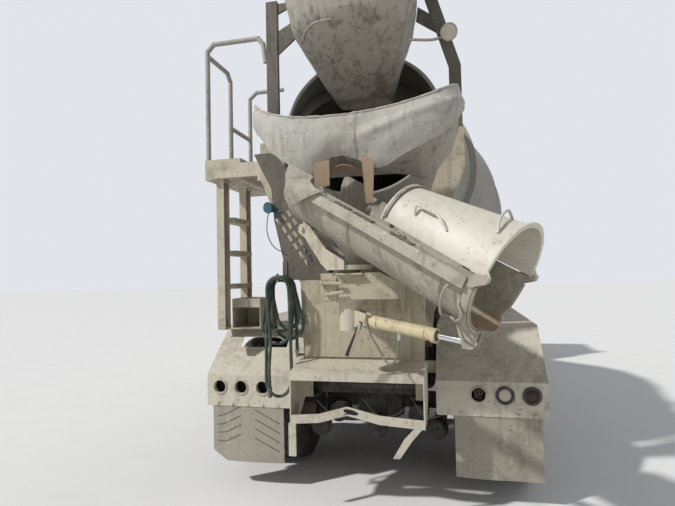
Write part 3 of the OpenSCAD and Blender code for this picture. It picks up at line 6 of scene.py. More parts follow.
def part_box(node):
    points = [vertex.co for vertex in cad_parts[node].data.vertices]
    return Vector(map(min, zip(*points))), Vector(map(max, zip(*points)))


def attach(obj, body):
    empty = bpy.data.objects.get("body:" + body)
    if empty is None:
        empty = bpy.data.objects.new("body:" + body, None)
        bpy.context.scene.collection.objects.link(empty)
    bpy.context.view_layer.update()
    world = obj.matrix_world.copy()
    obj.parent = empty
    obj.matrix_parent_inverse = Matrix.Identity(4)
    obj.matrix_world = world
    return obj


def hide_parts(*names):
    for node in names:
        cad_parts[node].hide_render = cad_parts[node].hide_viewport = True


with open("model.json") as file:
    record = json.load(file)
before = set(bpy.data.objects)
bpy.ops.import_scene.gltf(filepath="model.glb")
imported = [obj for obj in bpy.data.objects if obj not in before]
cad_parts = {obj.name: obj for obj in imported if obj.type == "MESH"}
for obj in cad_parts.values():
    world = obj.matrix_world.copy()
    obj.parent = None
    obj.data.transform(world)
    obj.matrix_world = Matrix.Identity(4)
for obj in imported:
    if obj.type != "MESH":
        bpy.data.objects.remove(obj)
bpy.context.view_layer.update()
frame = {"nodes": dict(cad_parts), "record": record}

rearFace = -3.405  # Y of the rear face of the fenders; places below are measured forward from it
nodes = frame["nodes"]
scene = bpy.context.scene
rng = np.random.default_rng(7)

# Camera at the photograph's angle: place from the fenders' rear face, turn, tilt and roll in degrees
camera = {"place": (0.684, -3.642, 1.6), "turn": 13.37, "tilt": 2.37, "roll": -1.25, "focalPx": 507.0, "widthPx": 675.0,
          "filmMm": 36.0, "farEnd": 200.0}


# The view runs ahead, turned to the left and tilted up; its right and up are then rolled about it
def makeCamera(s):
    turn, tilt, roll = (math.radians(s[k]) for k in ("turn", "tilt", "roll"))
    ahead = Vector((-math.sin(turn), math.cos(turn), 0))
    side = Vector((math.cos(turn), math.sin(turn), 0))
    look = ahead * math.cos(tilt) + Vector((0, 0, 1)) * math.sin(tilt)
    up = Vector((0, 0, 1)) * math.cos(tilt) - ahead * math.sin(tilt)
    right = side * math.cos(roll) + up * math.sin(roll)
    up = up * math.cos(roll) - side * math.sin(roll)
    data = bpy.data.cameras.new("rearCamera")
    data.sensor_width = s["filmMm"]
    data.lens = s["filmMm"] * s["focalPx"] / s["widthPx"]
    data.clip_end = s["farEnd"]
    cam = bpy.data.objects.new("rearCamera", data)
    scene.collection.objects.link(cam)
    x, y, z = s["place"]
    m = Matrix((right, up, -look)).transposed().to_4x4()
    cam.matrix_world = Matrix.Translation((x, y + rearFace, z)) @ m
    scene.camera = cam


makeCamera(camera)
scene.view_settings.view_transform = "Standard"
print("stage: camera")


# Places in metres: x to the right seen from behind, y forward from the fenders' rear face, z up
def at(x, y, z):
    return np.array([x, y + rearFace, z], float)


def places(rows):
    return np.array([at(*p) for p in rows])


# A vector divided by its length
def unit(v):
    return v / np.maximum(np.linalg.norm(v, axis=-1, keepdims=True), 1e-12)


# Lowest and highest corner of a node's box
def corners(name):
    return (np.array(v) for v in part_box(name))


# Two tables: the first list down the rows, the second along the columns
def grid(a, b):
    return np.meshgrid(a, b, indexing="ij")


# Steps (across, up) to places spaced evenly round a circle
def circle(count, radius, start=0.0):
    turn = start + np.arange(count) * 2 * math.pi / count
    return radius * np.c_[np.cos(turn), np.sin(turn)]


# Profiles to turn round an axis: a plain disc between two heights, and a hoop of square section
def disc(radius, low, high):
    return [(0, low), (radius, low), (radius, high), (0, high)]


def hoop(inner, outer, half):
    return [(inner, -half), (outer, -half), (outer, half), (inner, half)]


# Name of a piece that belongs to a node: a first word, then the node's own words after its first
def pieceName(first, node):
    return first + "".join(word.title() for word in node.split("_")[1:])


# Points spaced evenly along a path, by their number or by the gap between them: each coordinate is read off
# at even steps of the distance run
def evenly(p, steps=None, gap=None):
    run = np.concatenate([[0], np.cumsum(np.linalg.norm(np.diff(p, axis=0), axis=1))])
    even = np.linspace(0, run[-1], steps or int(run[-1] / gap))
    return np.stack([np.interp(even, run, c) for c in p.T], axis=1)


# Smooth curve through the points: each stretch is a cubic whose slopes come from the neighbours on both sides
def curve(points, per=8):
    p = np.asarray(points, float)
    q = np.vstack([2 * p[0] - p[1], p, 2 * p[-1] - p[-2]])
    t = np.linspace(0, 1, per, endpoint=False)[:, None]
    rows = [0.5 * (2 * b + (c - a) * t + (2 * a - 5 * b + 4 * c - d) * t**2 + (3 * b - a - 3 * c + d) * t**3)
            for a, b, c, d in zip(q, q[1:], q[2:], q[3:])]
    return np.vstack([*rows, p[-1:]])


# Uneven height over a surface, about -1 to 1: a sum of waves in fixed random directions, each with its own
# shift and fineness
waveCount, waveSpread = 14, 5.0
waves = [(rng.normal(size=3), rng.uniform(0, 6.28), rng.uniform(0.6, 1.9)) for _ in range(waveCount)]


def lumps(p, size):
    total = sum(np.sin(p @ (unit(d) * k * 2 * math.pi / size) + shift) for d, shift, k in waves)
    return total / waveSpread


# Quads between the two halves of a closed loop
def halves(loop):
    return [[loop[j], loop[j + 1], loop[-2 - j], loop[-1 - j]] for j in range(len(loop) // 2 - 1)]


# A piece is gathered from closed surfaces, each a grid of points worked out from two parameters
class Piece:
    def __init__(self, name, finish, body="chassis", slot="body_paint", replaces=(), sharp=35):
        self.name, self.finish, self.body, self.slot = name, finish, body, slot
        self.replaces, self.sharp = replaces, sharp
        self.points, self.faces, self.count = [], [], 0

    # Rows of points; each row is a closed loop. The end rows are closed by a face, by a strip that joins a
    # loop's two halves, or to a point where a row shrinks to one; or the last row joins the first
    def skin(self, p, ring=False, strip=False):
        rows, cols = p.shape[:2]
        index = self.count + np.arange(rows * cols).reshape(rows, cols)
        nextCol = np.roll(index, -1, axis=1)
        if ring:
            quads = np.stack([index, nextCol, np.roll(nextCol, -1, axis=0), np.roll(index, -1, axis=0)], axis=2)
            faces = quads.reshape(-1, 4).tolist()
        else:
            quads = np.stack([index[:-1], nextCol[:-1], nextCol[1:], index[1:]], axis=2)
            poles = [np.ptp(p[r], axis=0).max() < 1e-7 for r in (0, -1)]
            middle = quads[1 if poles[0] else 0: rows - 2 if poles[1] else rows - 1]
            faces = middle.reshape(-1, 4).tolist()
            if poles[0]:
                faces += [[index[0, 0], c, d] for a, b, c, d in quads[0].tolist()]
            elif strip:
                faces += [[b, a, d, c] for a, b, c, d in halves(index[0])]
            else:
                faces.append(index[0, ::-1].tolist())
            if poles[1]:
                faces += [[a, b, index[-1, 0]] for a, b, c, d in quads[-1].tolist()]
            elif strip:
                faces += halves(index[-1])
            else:
                faces.append(index[-1].tolist())
        flat = p.reshape(-1, 3)
        fan = np.array([(f[0], f[i], f[i + 1]) for f in faces for i in range(1, len(f) - 1)]) - self.count
        corner = (flat - flat.mean(axis=0))[fan]
        volume = float(np.einsum("ij,ij->", corner[:, 0], np.cross(corner[:, 1], corner[:, 2])))
        self.points.append(flat)
        self.faces += [f[::-1] for f in faces] if volume < 0 else faces
        self.count += rows * cols
        return self

    # Profile swept along a path: a circle, or an oval of two radii, carried without twist
    def tube(self, path, radius, sides=10, flat=1.0, up=None):
        p = np.asarray(path, float)
        tangent = unit(np.gradient(p, axis=0))
        side = np.cross(tangent[0], up if up is not None else (0.13, 0.21, 0.97))
        if np.linalg.norm(side) < 1e-3:
            side = np.cross(tangent[0], (1.0, 0.0, 0.0))
        sidesAlong = []
        for t in tangent:
            side = unit(side - t * np.dot(side, t))
            sidesAlong.append(side)
        a = np.array(sidesAlong)
        b = np.cross(tangent, a)
        turn = np.arange(sides) * 2 * math.pi / sides
        r = np.broadcast_to(np.asarray(radius, float), (len(p),))[:, None, None]
        c, sn = np.cos(turn)[None, :, None], np.sin(turn)[None, :, None]
        return self.skin(p[:, None] + r * (c * a[:, None] + flat * sn * b[:, None]))

    # Sheet of even thickness: a grid of points and its copy set back along the surface's normals
    def sheet(self, p, thick):
        normal = unit(np.cross(np.gradient(p, axis=0), np.gradient(p, axis=1)))
        return self.skin(np.concatenate([p, (p - normal * thick)[:, ::-1]], axis=1), strip=True)

    # Profile of (radius, distance along the axis) turned round an axis
    def lathe(self, profile, centre, axis=(0, -1, 0), sides=28, ring=False, start=0.0):
        axis = unit(np.asarray(axis, float))
        a = unit(np.cross(axis, (0.0, 0.0, 1.0) if abs(axis[2]) < 0.9 else (1.0, 0.0, 0.0)))
        b = np.cross(axis, a)
        turn = start + np.arange(sides) * 2 * math.pi / sides
        spokes = np.cos(turn)[:, None] * a + np.sin(turn)[:, None] * b
        r, h = np.asarray(profile, float).T[:, :, None, None]
        return self.skin(np.asarray(centre) + r * spokes[None] + h * axis, ring=ring)

    # Flat outline given a thickness, its edges broken by a small bevel
    def slab(self, outline, along, across, origin, thick, edge=0.0015):
        o = np.asarray(outline, float)
        along, across = unit(np.asarray(along, float)), unit(np.asarray(across, float))
        out = np.cross(along, across)
        toNext, toLast = unit(np.roll(o, -1, axis=0) - o), unit(np.roll(o, 1, axis=0) - o)
        inward = unit(toNext + toLast + 1e-9)
        turnSign = np.sign(toLast[:, 1] * toNext[:, 0] - toLast[:, 0] * toNext[:, 1])
        area = 0.5 * np.sum(o[:, 0] * np.roll(o[:, 1], -1) - np.roll(o[:, 0], -1) * o[:, 1])
        inset = o + inward * (turnSign * np.sign(area))[:, None] * edge
        rows = [(inset, 0.0), (o, edge), (o, thick - edge), (inset, thick)]
        base = np.asarray(origin)
        return self.skin(np.array([base + q[:, :1] * along + q[:, 1:] * across + h * out for q, h in rows]))

    # Box between two corners, with broken edges
    def block(self, low, high, edge=0.002):
        (x0, y0, z0), (x1, y1, z1) = np.minimum(low, high), np.maximum(low, high)
        return self.slab([(x0, y0), (x1, y0), (x1, y1), (x0, y1)], (1, 0, 0), (0, 1, 0), (0, 0, z0), z1 - z0, edge)

    def ball(self, centre, r, sides=14):
        a = np.linspace(0, math.pi, 9)
        return self.lathe(np.c_[r * np.sin(a).round(9), -r * np.cos(a)], centre, (0, 0, 1), sides)

    # Six-sided bolt head with its washer
    def bolt(self, centre, axis, r=0.011):
        self.lathe(disc(1.5 * r, 0, 0.2 * r), centre, axis, 14)
        return self.lathe([(0, 0), (r, 0), (r, 0.75 * r), (0.85 * r, 0.9 * r), (0, 0.9 * r)], centre, axis, 6)

    def make(self):
        me = bpy.data.meshes.new(self.name)
        used, index = np.unique(np.concatenate(self.faces), return_inverse=True)
        ends = np.cumsum([len(f) for f in self.faces])[:-1]
        me.from_pydata(np.vstack(self.points)[used].tolist(), [], [f.tolist() for f in np.split(index, ends)])
        me.polygons.foreach_set("use_smooth", [True] * len(me.polygons))
        me.set_sharp_from_angle(angle=math.radians(self.sharp))
        me.materials.append(finishes[self.finish])
        obj = bpy.data.objects.new(self.name, me)
        scene.collection.objects.link(obj)
        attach(obj, self.body)
        if self.replaces:
            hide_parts(*self.replaces)
        return obj


# A shader socket whose arithmetic adds Math nodes
class Wire:
    def __init__(self, tree, socket):
        self.tree, self.socket = tree, socket

    def maths(self, op, a, b=None):
        n = self.tree.nodes.new("ShaderNodeMath")
        n.operation = op
        for i, v in enumerate((a, b)):
            if isinstance(v, Wire):
                self.tree.links.new(v.socket, n.inputs[i])
            elif v is not None:
                n.inputs[i].default_value = v
        return Wire(self.tree, n.outputs[0])

    def __add__(self, o): return self.maths("ADD", self, o)
    def __radd__(self, o): return self.maths("ADD", o, self)
    def __sub__(self, o): return self.maths("SUBTRACT", self, o)
    def __rsub__(self, o): return self.maths("SUBTRACT", o, self)
    def __mul__(self, o): return self.maths("MULTIPLY", self, o)
    def __rmul__(self, o): return self.maths("MULTIPLY", o, self)
    def clamp(self): return self.most(0.0).least(1.0)
    def least(self, o): return self.maths("MINIMUM", self, o)
    def most(self, o): return self.maths("MAXIMUM", self, o)


# Nodes of a material or a world, added one by one
class Shader:
    def __init__(self, owner):
        self.owner = owner
        owner.use_nodes = True
        self.tree = owner.node_tree
        self.tree.nodes.clear()

    # Any node: its type, its own settings first, then the values or links of its sockets by name or number
    def node(self, kind, settings=None, out=0, **sockets):
        n = self.tree.nodes.new(kind)
        for k, v in (settings or {}).items():
            setattr(n, k, v)
        for k, v in sockets.items():
            s = n.inputs[int(k[1:]) if k[0] == "n" and k[1:].isdigit() else k.replace("_", " ")]
            if isinstance(v, Wire):
                self.tree.links.new(v.socket, s)
            elif v is not None:
                s.default_value = (*v, 1.0) if isinstance(v, tuple) and len(v) == 3 and s.type == "RGBA" else v
        return Wire(self.tree, n.outputs[out]) if n.outputs else n


class Finish(Shader):
    def __init__(self, name):
        super().__init__(bpy.data.materials.new(name))
        self.coords = self.node("ShaderNodeTexCoord", out="Object")

    def noise(self, scale, detail=3.0, rough=0.55, stretch=None, twist=0.0):
        v = self.coords if stretch is None else self.node("ShaderNodeMapping", Vector=self.coords, Scale=stretch)
        return self.node("ShaderNodeTexNoise", out="Fac", Vector=v, Scale=scale, Detail=detail,
                         Roughness=rough, Distortion=twist)

    # 0 below low, 1 above high, smooth between
    def step(self, value, low, high):
        return self.node("ShaderNodeMapRange", {"interpolation_type": "SMOOTHSTEP"}, out="Result", Value=value,
                         From_Min=low, From_Max=high, To_Min=0.0, To_Max=1.0)

    def mix(self, factor, a, b):
        return self.node("ShaderNodeMix", {"data_type": "RGBA"}, out=2, n0=factor, n6=a, n7=b)

    def axis(self, name):
        v = self.node("ShaderNodeNewGeometry", out="Normal")
        return self.node("ShaderNodeSeparateXYZ", out=name, n0=v)

    def place(self, name):
        return self.node("ShaderNodeSeparateXYZ", out=name, n0=self.coords)

    def finish(self, colour, roughness, metallic=0.0, height=None, bump=0.3, depth=0.004, **fixed):
        shader = self.node("ShaderNodeBsdfPrincipled", Base_Color=colour, Roughness=roughness,
                           Metallic=metallic, **fixed)
        if height is not None:
            n = self.node("ShaderNodeBump", Height=height, Strength=bump, Distance=depth)
            self.tree.links.new(n.socket, shader.socket.node.inputs["Normal"])
        self.node("ShaderNodeOutputMaterial", Surface=shader)
        return self.owner


# Paint under dried concrete and grime: four colours, then amounts from 0 to 1
paintColumns = ("paint", "crust", "dirt", "rust",
                "splash", "streaks", "specks", "rusting", "dust", "stain", "shine")
paints = {
    "bodyCream": ((0.56, 0.5, 0.385), (0.56, 0.52, 0.43), (0.2, 0.16, 0.11), (0.17, 0.085, 0.04),
                  0.6, 0.8, 0.6, 0.4, 0.4, 0.42, 0.6),
    "towerCream": ((0.5, 0.445, 0.325), (0.53, 0.48, 0.36), (0.19, 0.145, 0.085), (0.18, 0.09, 0.04),
                   0.55, 0.9, 0.8, 0.5, 0.3, 0.48, 0.7),
    "fenderCream": ((0.62, 0.57, 0.46), (0.62, 0.58, 0.48), (0.2, 0.165, 0.12), (0.19, 0.1, 0.05),
                    0.5, 0.6, 0.8, 0.35, 0.35, 0.34, 0.55),
    "chuteCream": ((0.41, 0.375, 0.3), (0.6, 0.565, 0.475), (0.19, 0.165, 0.125), (0.19, 0.11, 0.06),
                   0.75, 1.0, 0.8, 0.5, 0.25, 0.55, 0.7),
    "drumGrey": ((0.36, 0.34, 0.3), (0.44, 0.42, 0.375), (0.2, 0.18, 0.15), (0.19, 0.13, 0.08),
                 0.35, 0.8, 0.45, 0.3, 0.2, 0.25, 0.6),
    "hopperGrey": ((0.44, 0.41, 0.35), (0.5, 0.465, 0.39), (0.1, 0.085, 0.06), (0.15, 0.085, 0.045),
                   0.4, 1.3, 0.8, 0.6, 0.2, 0.62, 0.75),
    "collectorGrey": ((0.5, 0.475, 0.42), (0.62, 0.6, 0.54), (0.19, 0.165, 0.125), (0.19, 0.11, 0.06),
                      0.55, 0.9, 0.6, 0.4, 0.2, 0.3, 0.65),
    "foldCream": ((0.7, 0.66, 0.56), (0.66, 0.62, 0.53), (0.33, 0.275, 0.2), (0.22, 0.12, 0.06),
                  0.15, 0.45, 0.7, 0.3, 0.15, 0.1, 0.5),
    "railGrey": ((0.4, 0.385, 0.35), (0.58, 0.555, 0.49), (0.15, 0.13, 0.1), (0.17, 0.09, 0.05),
                 0.7, 0.6, 0.8, 0.5, 0.2, 0.3, 0.6),
    # The cream at about a quarter of its brightness: painted shade for parts that lie in shadow
    "guardDark": ((0.15, 0.13, 0.105), (0.3, 0.27, 0.22), (0.05, 0.042, 0.032), (0.1, 0.055, 0.03),
                  0.4, 0.6, 0.9, 0.5, 0.3, 0.4, 0.8),
    "barrelYellow": ((0.66, 0.56, 0.34), (0.58, 0.52, 0.4), (0.22, 0.17, 0.1), (0.2, 0.1, 0.05),
                     0.35, 0.4, 0.8, 0.5, 0.3, 0.3, 0.6),
    "rustyTan": ((0.43, 0.31, 0.2), (0.5, 0.42, 0.31), (0.17, 0.11, 0.07), (0.17, 0.075, 0.035),
                 0.4, 0.8, 0.5, 0.7, 0.2, 0.4, 0.85),
    "cabCream": ((0.7, 0.65, 0.54), (0.6, 0.56, 0.48), (0.3, 0.26, 0.2), (0.24, 0.13, 0.07),
                 0.12, 0.3, 0.3, 0.1, 0.3, 0.06, 0.32),
    "chassisBlack": ((0.035, 0.034, 0.033), (0.15, 0.13, 0.105), (0.09, 0.08, 0.065), (0.1, 0.055, 0.03),
                     0.45, 0.4, 0.5, 0.5, 0.5, 0.3, 0.75),
    "flapRubber": ((0.36, 0.33, 0.265), (0.49, 0.455, 0.375), (0.15, 0.13, 0.095), (0.24, 0.2, 0.14),
                   0.55, 0.7, 0.7, 0.2, 0.3, 0.45, 0.85),
    "tyreRubber": ((0.028, 0.028, 0.028), (0.12, 0.105, 0.085), (0.075, 0.066, 0.052), (0.05, 0.042, 0.033),
                   0.3, 0.2, 0.3, 0.0, 0.45, 0.1, 0.82),
}


# Noises that every paint is mixed from: scale, detail, roughness
paintNoises = {"broad": (0.9, 2.0), "patch": (3.4, 7.0, 0.68), "mottle": (12.0, 8.0, 0.74), "grain": (34.0, 2.0, 0.5),
               "fine": (95.0, 4.0, 0.65)}
roadDust = (0.40, 0.345, 0.26)


# A colour times an amount, at most 1
def shaded(colour, amount):
    return tuple(min(1.0, c * amount) for c in colour)


# Paint: layers mixed over each other, each by a mask of noise between two levels, and painted shade on faces turned
# downwards
def paintFinish(name, s):
    f = Finish(name)
    up, z = f.axis("Z"), f.place("Z")
    broad, patch, mottle, grain, fine = (f.noise(*row) for row in paintNoises.values())
    # Films of cement and of dirt, soft at their edges
    film = f.step(patch * 0.55 + mottle * 0.45, 0.46, 0.66)
    grime = f.step(f.noise(2.3, 8.0, 0.75, twist=0.4) * 0.7 + mottle * 0.3, 0.50, 0.68)
    # Crust of dried concrete in small thick patches, which start lower where there is more splash
    low = 0.735 - 0.13 * s["splash"]
    crust = f.step(mottle * 0.6 + fine * 0.15 + patch * 0.4, low, low + 0.04)
    # Splashed drops, pale and dark, thicker where the broad noise is high, and pits
    few = 0.09 * s["specks"]
    pale = f.step(grain + (patch - 0.5) * 0.55, 0.735 - few, 0.765 - few)
    dark = f.step(f.noise(46.0, 2.0, 0.5) + (mottle - 0.5) * 0.45, 0.745 - few, 0.775 - few)
    low = 0.76 - 0.08 * s["specks"]
    pits = f.step(f.noise(15.0, 3.0, 0.6) + (fine - 0.5) * 0.3, low, low + 0.03)
    # Runs and stains down the sides, rust, and dust on what faces up or is near the ground
    runs = f.step(f.noise(1.0, 5.0, 0.62, stretch=(26.0, 26.0, 1.3)) + (patch - 0.5) * 0.7, 0.52, 0.76)
    runs = runs * (1.0 - f.step(up, 0.75, 1.0))
    stain = f.step(f.noise(1.0, 9.0, 0.74, stretch=(3.6, 3.6, 1.5), twist=0.6) + (mottle - 0.5) * 0.5, 0.50, 0.63)
    low = 0.80 - 0.22 * s["rusting"]
    rust = f.step(f.noise(21.0, 7.0, 0.78, twist=0.8) + (patch - 0.5) * 0.7, low, low + 0.10)
    dust = (f.step(up, 0.35, 0.95) * 0.7 + f.step(1.3 - z, 0.0, 1.3) * 0.4) * f.step(mottle, 0.3, 0.7) * s["dust"]
    # Faces turned downwards take some of the dirt colour: painted shade under things
    under = f.step(0.0 - up, 0.3, 0.95)
    shade = f.mix(f.step(broad, 0.3, 0.7), s["paint"], shaded(s["paint"], 0.88))
    for amount, colour in ((film * 0.75 * s["splash"], s["crust"]), (grime * 0.5 * s["streaks"], s["dirt"]),
                           (runs * 0.5 * s["streaks"], s["dirt"]), (stain * s["stain"], s["dirt"]),
                           (rust * 0.5, s["rust"]), (crust * 0.8, shaded(s["crust"], 1.06)),
                           (pale * 0.32, shaded(s["crust"], 1.15)), (dark * 0.6, s["dirt"]),
                           (pits * 0.55 * s["specks"], shaded(s["dirt"], 0.8)), (dust, roadDust),
                           (under * 0.3, s["dirt"])):
        shade = f.mix(amount.clamp(), shade, colour)
    rough = (s["shine"] + crust * 0.2 + dust * 0.25 + rust * 0.15 + grime * 0.1 + (fine - 0.5) * 0.2).clamp()
    height = crust * (0.5 + fine * 0.8) + pale * 0.15 + mottle * 0.35 + rust * 0.15 - pits * 0.3
    return f.finish(shade, rough, height=height, bump=0.6, depth=0.006)


# Bare metal that turns duller and less metallic under patches of dirt
def metalFinish(name, colour, rough, dirt, metallic=1.0):
    f = Finish(name)
    fine = f.noise(60.0, 3.0, 0.6)
    mask = f.step(f.noise(11.0, 5.0, 0.6), 0.5, 0.75) * dirt
    shade = f.mix(mask.clamp(), colour, steelDirt)
    return f.finish(shade, (rough + mask * 0.5 + (fine - 0.5) * 0.1).clamp(), metallic=(metallic - mask).clamp(),
                    height=fine, bump=0.08, depth=0.002)


# Plastic or rubber: fine grain, and patches of dirt in their own colour
def plasticFinish(name, colour, rough, dirt, dirtColour=(0.33, 0.29, 0.22)):
    f = Finish(name)
    fine = f.noise(160.0, 3.0, 0.6)
    mask = f.step(f.noise(9.0, 5.0, 0.65), 0.45, 0.75) * dirt
    shade = f.mix(mask.clamp(), colour, dirtColour)
    return f.finish(shade, (rough + mask * 0.4 + (fine - 0.5) * 0.12).clamp(), height=fine, bump=0.12, depth=0.0015)


# Dark tinted glass with smears that show a little more
def glassFinish(name, tint, alpha):
    f = Finish(name)
    smear = f.step(f.noise(4.0, 4.0, 0.6), 0.45, 0.8)
    shade = f.mix((smear * 0.4).clamp(), tint, (0.45, 0.42, 0.36))
    return f.finish(shade, 0.04 + smear * 0.25, Alpha=alpha + smear * 0.12, IOR=1.5)


# Metals: colour, roughness, dirt, how metallic. Plastics and hoses: colour, roughness, dirt, dirt's colour
steelDirt = (0.20, 0.17, 0.13)
metals = {"chromeRod": ((0.75, 0.75, 0.76), 0.12, 0.2), "brightSteel": ((0.60, 0.60, 0.61), 0.28, 0.35),
          "castIron": ((0.12, 0.12, 0.115), 0.6, 0.5, 0.3)}
plastics = {
    "darkPlastic": ((0.03, 0.03, 0.032), 0.5, 0.4),
    # Near-black for painted shade inside holes
    "holeDark": ((0.012, 0.011, 0.01), 0.9, 0.25, (0.06, 0.05, 0.04)),
    "seatCloth": ((0.075, 0.07, 0.07), 0.9, 0.2),
    "redLens": ((0.050, 0.011, 0.010), 0.35, 0.8, (0.085, 0.068, 0.055)),
    "paleLens": ((0.50, 0.46, 0.37), 0.6, 0.6, (0.30, 0.26, 0.19)),
    "clearLens": ((0.62, 0.63, 0.64), 0.15, 0.15),
    "amberLens": ((0.55, 0.20, 0.02), 0.2, 0.2),
    "tealShell": ((0.02, 0.11, 0.13), 0.5, 0.5),
    "greenHose": ((0.036, 0.058, 0.044), 0.5, 0.8, (0.20, 0.205, 0.16)),
    "blackHose": ((0.02, 0.02, 0.021), 0.45, 0.5, (0.17, 0.15, 0.11)),
    "dustyHose": ((0.20, 0.17, 0.13), 0.7, 0.7, (0.42, 0.37, 0.28)),
}
finishes = {k: paintFinish(k, dict(zip(paintColumns, row))) for k, row in paints.items()}
finishes |= {k: metalFinish(k, *row) for k, row in metals.items()}
finishes |= {k: plasticFinish(k, *row) for k, row in plastics.items()}
finishes["cabGlass"] = glassFinish("cabGlass", (0.03, 0.04, 0.045), 0.55)

# Finish of each CAD node; tyres take their rubber below, and the rest the body cream
nodeFinish = {
    "cabCream": ["cab_shell", "hood", "door_left", "door_right", "quarter_fenders", "water_tank"],
    "drumGrey": ["drum_shell", "drum_flights"],
    "hopperGrey": ["charge_hopper"],
    "railGrey": ["handrails"],
    "collectorGrey": ["collector"],
    "chuteCream": ["main_chute"],
    "towerCream": ["rear_tower", "chute_post", "roller_pedestal"],
    "fenderCream": ["rear_fenders", "rear_apron"],
    "foldCream": ["fold_chute"],
    # The guard plate and the hopper frame take the shaded cream: painted shade
    "guardDark": ["guard_plate", "hopper_frame"],
    "barrelYellow": ["lift_barrel"],
    "chromeRod": ["lift_rod"],
    "brightSteel": ["front_bumper", "fuel_tank", "exhaust_stack", "hose_end"],
    "chassisBlack": ["frame_rails", "front_axle", "rear_axles", "knuckle_left", "knuckle_right", "drive_pedestal",
                     "battery_box"],
    "castIron": ["engine_block", "roller_left", "roller_right"],
    "flapRubber": ["mud_flaps"],
    "redLens": ["tail_lamps"],
    "clearLens": ["headlamps"],
    "cabGlass": ["cab_glass", "door_glass_left", "door_glass_right"],
    "seatCloth": ["cab_interior"],
    "greenHose": ["hose_hank", "hose_runs"],
}
chosen = {n: k for k, names in nodeFinish.items() for n in names}
for name, obj in nodes.items():
    key = chosen.get(name) or ("tyreRubber" if name.startswith("tyre") else "bodyCream")
    obj.data.materials.clear()
    obj.data.materials.append(finishes[key])
print("stage: finishes")

# Wash hose: up from its ferrule, round the hook in full turns, a long hanging loop, once more round, and the tail
hose = {"radius": 0.012, "gap": 0.014, "easing": 9, "exit": (-0.475, -0.100, 1.060), "hookX": -0.565, "topZ": 1.5093,
        "topRadius": 0.084, "lowZ": [1.245, 1.290, 1.300, 1.225, 1.28, 1.30],
        "lowRadii": [0.112, 0.098, 0.086, 0.115, 0.10, 0.09], "lean": [0.040, -0.018, 0.052, -0.026, 0.0, 0.0],
        "pitch": 0.0255, "off": 0.003, "lastTurn": 5.65, "straightFrom": 0.12, "straightOver": 0.10,
        "lead": [(-0.475, -0.100, 1.060), (-0.475, -0.100, 1.090), (-0.475, -0.100, 1.120), (-0.475, -0.100, 1.150)],
        "loop": [(-0.665, -0.221, 1.150), (-0.665, -0.222, 1.100), (-0.665, -0.223, 1.040), (-0.666, -0.223, 0.980),
                 (-0.668, -0.224, 0.920), (-0.669, -0.225, 0.870), (-0.667, -0.225, 0.830), (-0.656, -0.226, 0.795),
                 (-0.637, -0.227, 0.768), (-0.610, -0.227, 0.748), (-0.577, -0.228, 0.741), (-0.544, -0.228, 0.748),
                 (-0.516, -0.229, 0.766), (-0.493, -0.230, 0.796), (-0.482, -0.230, 0.832), (-0.478, -0.231, 0.870),
                 (-0.477, -0.232, 0.920), (-0.477, -0.232, 0.980), (-0.478, -0.233, 1.040), (-0.478, -0.233, 1.100),
                 (-0.478, -0.234, 1.150)],
        "tail": [(-0.625, -0.245, 1.150), (-0.625, -0.245, 1.110), (-0.627, -0.249, 1.060), (-0.630, -0.256, 1.000),
                 (-0.631, -0.265, 0.950), (-0.628, -0.272, 0.900), (-0.622, -0.277, 0.850), (-0.622, -0.277, 0.820)]}


# Points of one turn of the hank from angle a0 to a1 in degrees, 0 on the right and 90 over the hook:
# an arc round the top, an arc round the bottom and straight sides, moving back by one pitch for each turn
def hankTurn(s, turn, a0, a1, steps=28):
    rows = []
    last = len(s["lean"]) - 1
    for a in np.linspace(a0, a1, steps, endpoint=False):
        side = turn - 1 if a < 90 and turn > 0 else turn
        low, lowZ = s["lowRadii"][side], s["lowZ"][side]
        y = s["lead"][0][1] - s["off"] - s["pitch"] * (turn + a / 360.0 if turn < last else s["lastTurn"])
        c, sn = math.cos(math.radians(a)), math.sin(math.radians(a))
        k = min(1.0, max(0.0, (s["straightFrom"] - sn) / s["straightOver"]))
        r = s["topRadius"] + (low - s["topRadius"]) * k
        rows.append((s["hookX"] + s["lean"][side] * k + r * c, y, s["topZ"] + (lowZ - s["topZ"]) * k + r * sn))
    return rows


def hosePath(s):
    rows = s["lead"] + hankTurn(s, 0, 8, 360)
    for turn in (1, 2, 3):
        rows += hankTurn(s, turn, 0, 360)
    rows += hankTurn(s, 4, 0, 172, 16) + s["loop"]
    rows += hankTurn(s, 5, 8, 180, 16) + s["tail"]
    # Even spacing, then each point drawn towards the middle of its neighbours to ease the joins of the arcs
    p = evenly(places(rows), gap=s["gap"])
    for step in range(s["easing"]):
        p[1:-1] = 0.25 * p[:-2] + 0.5 * p[1:-1] + 0.25 * p[2:]
    return p


def makeHose(s):
    path = hosePath(s)
    piece = Piece("washHose", "greenHose", slot="hose_rubber")
    piece.tube(path, s["radius"], 10)
    obj = piece.make()
    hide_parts("hose_hank", "hose_runs")
    # Coupling on the tail: a profile of ribs and a tapered nose turned about the hose's end
    ribs = [(0, 0.002), (0.0172, 0.002), (0.0172, 0.022), (0.0135, 0.026), (0.0135, 0.032)]
    for i in range(5):
        ribs += [(0.0145, 0.034 + 0.007 * i), (0.0128, 0.038 + 0.007 * i)]
    end = Piece("hoseCoupling", "castIron", slot="bright_steel")
    end.lathe(ribs + [(0.0118, 0.071), (0, 0.071)], at(*s["tail"][-1]), (0, 0, -1), 20)
    endObj = end.make()
    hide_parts("hose_end")
    tuple(at(*s["exit"]))


makeHose(hose)


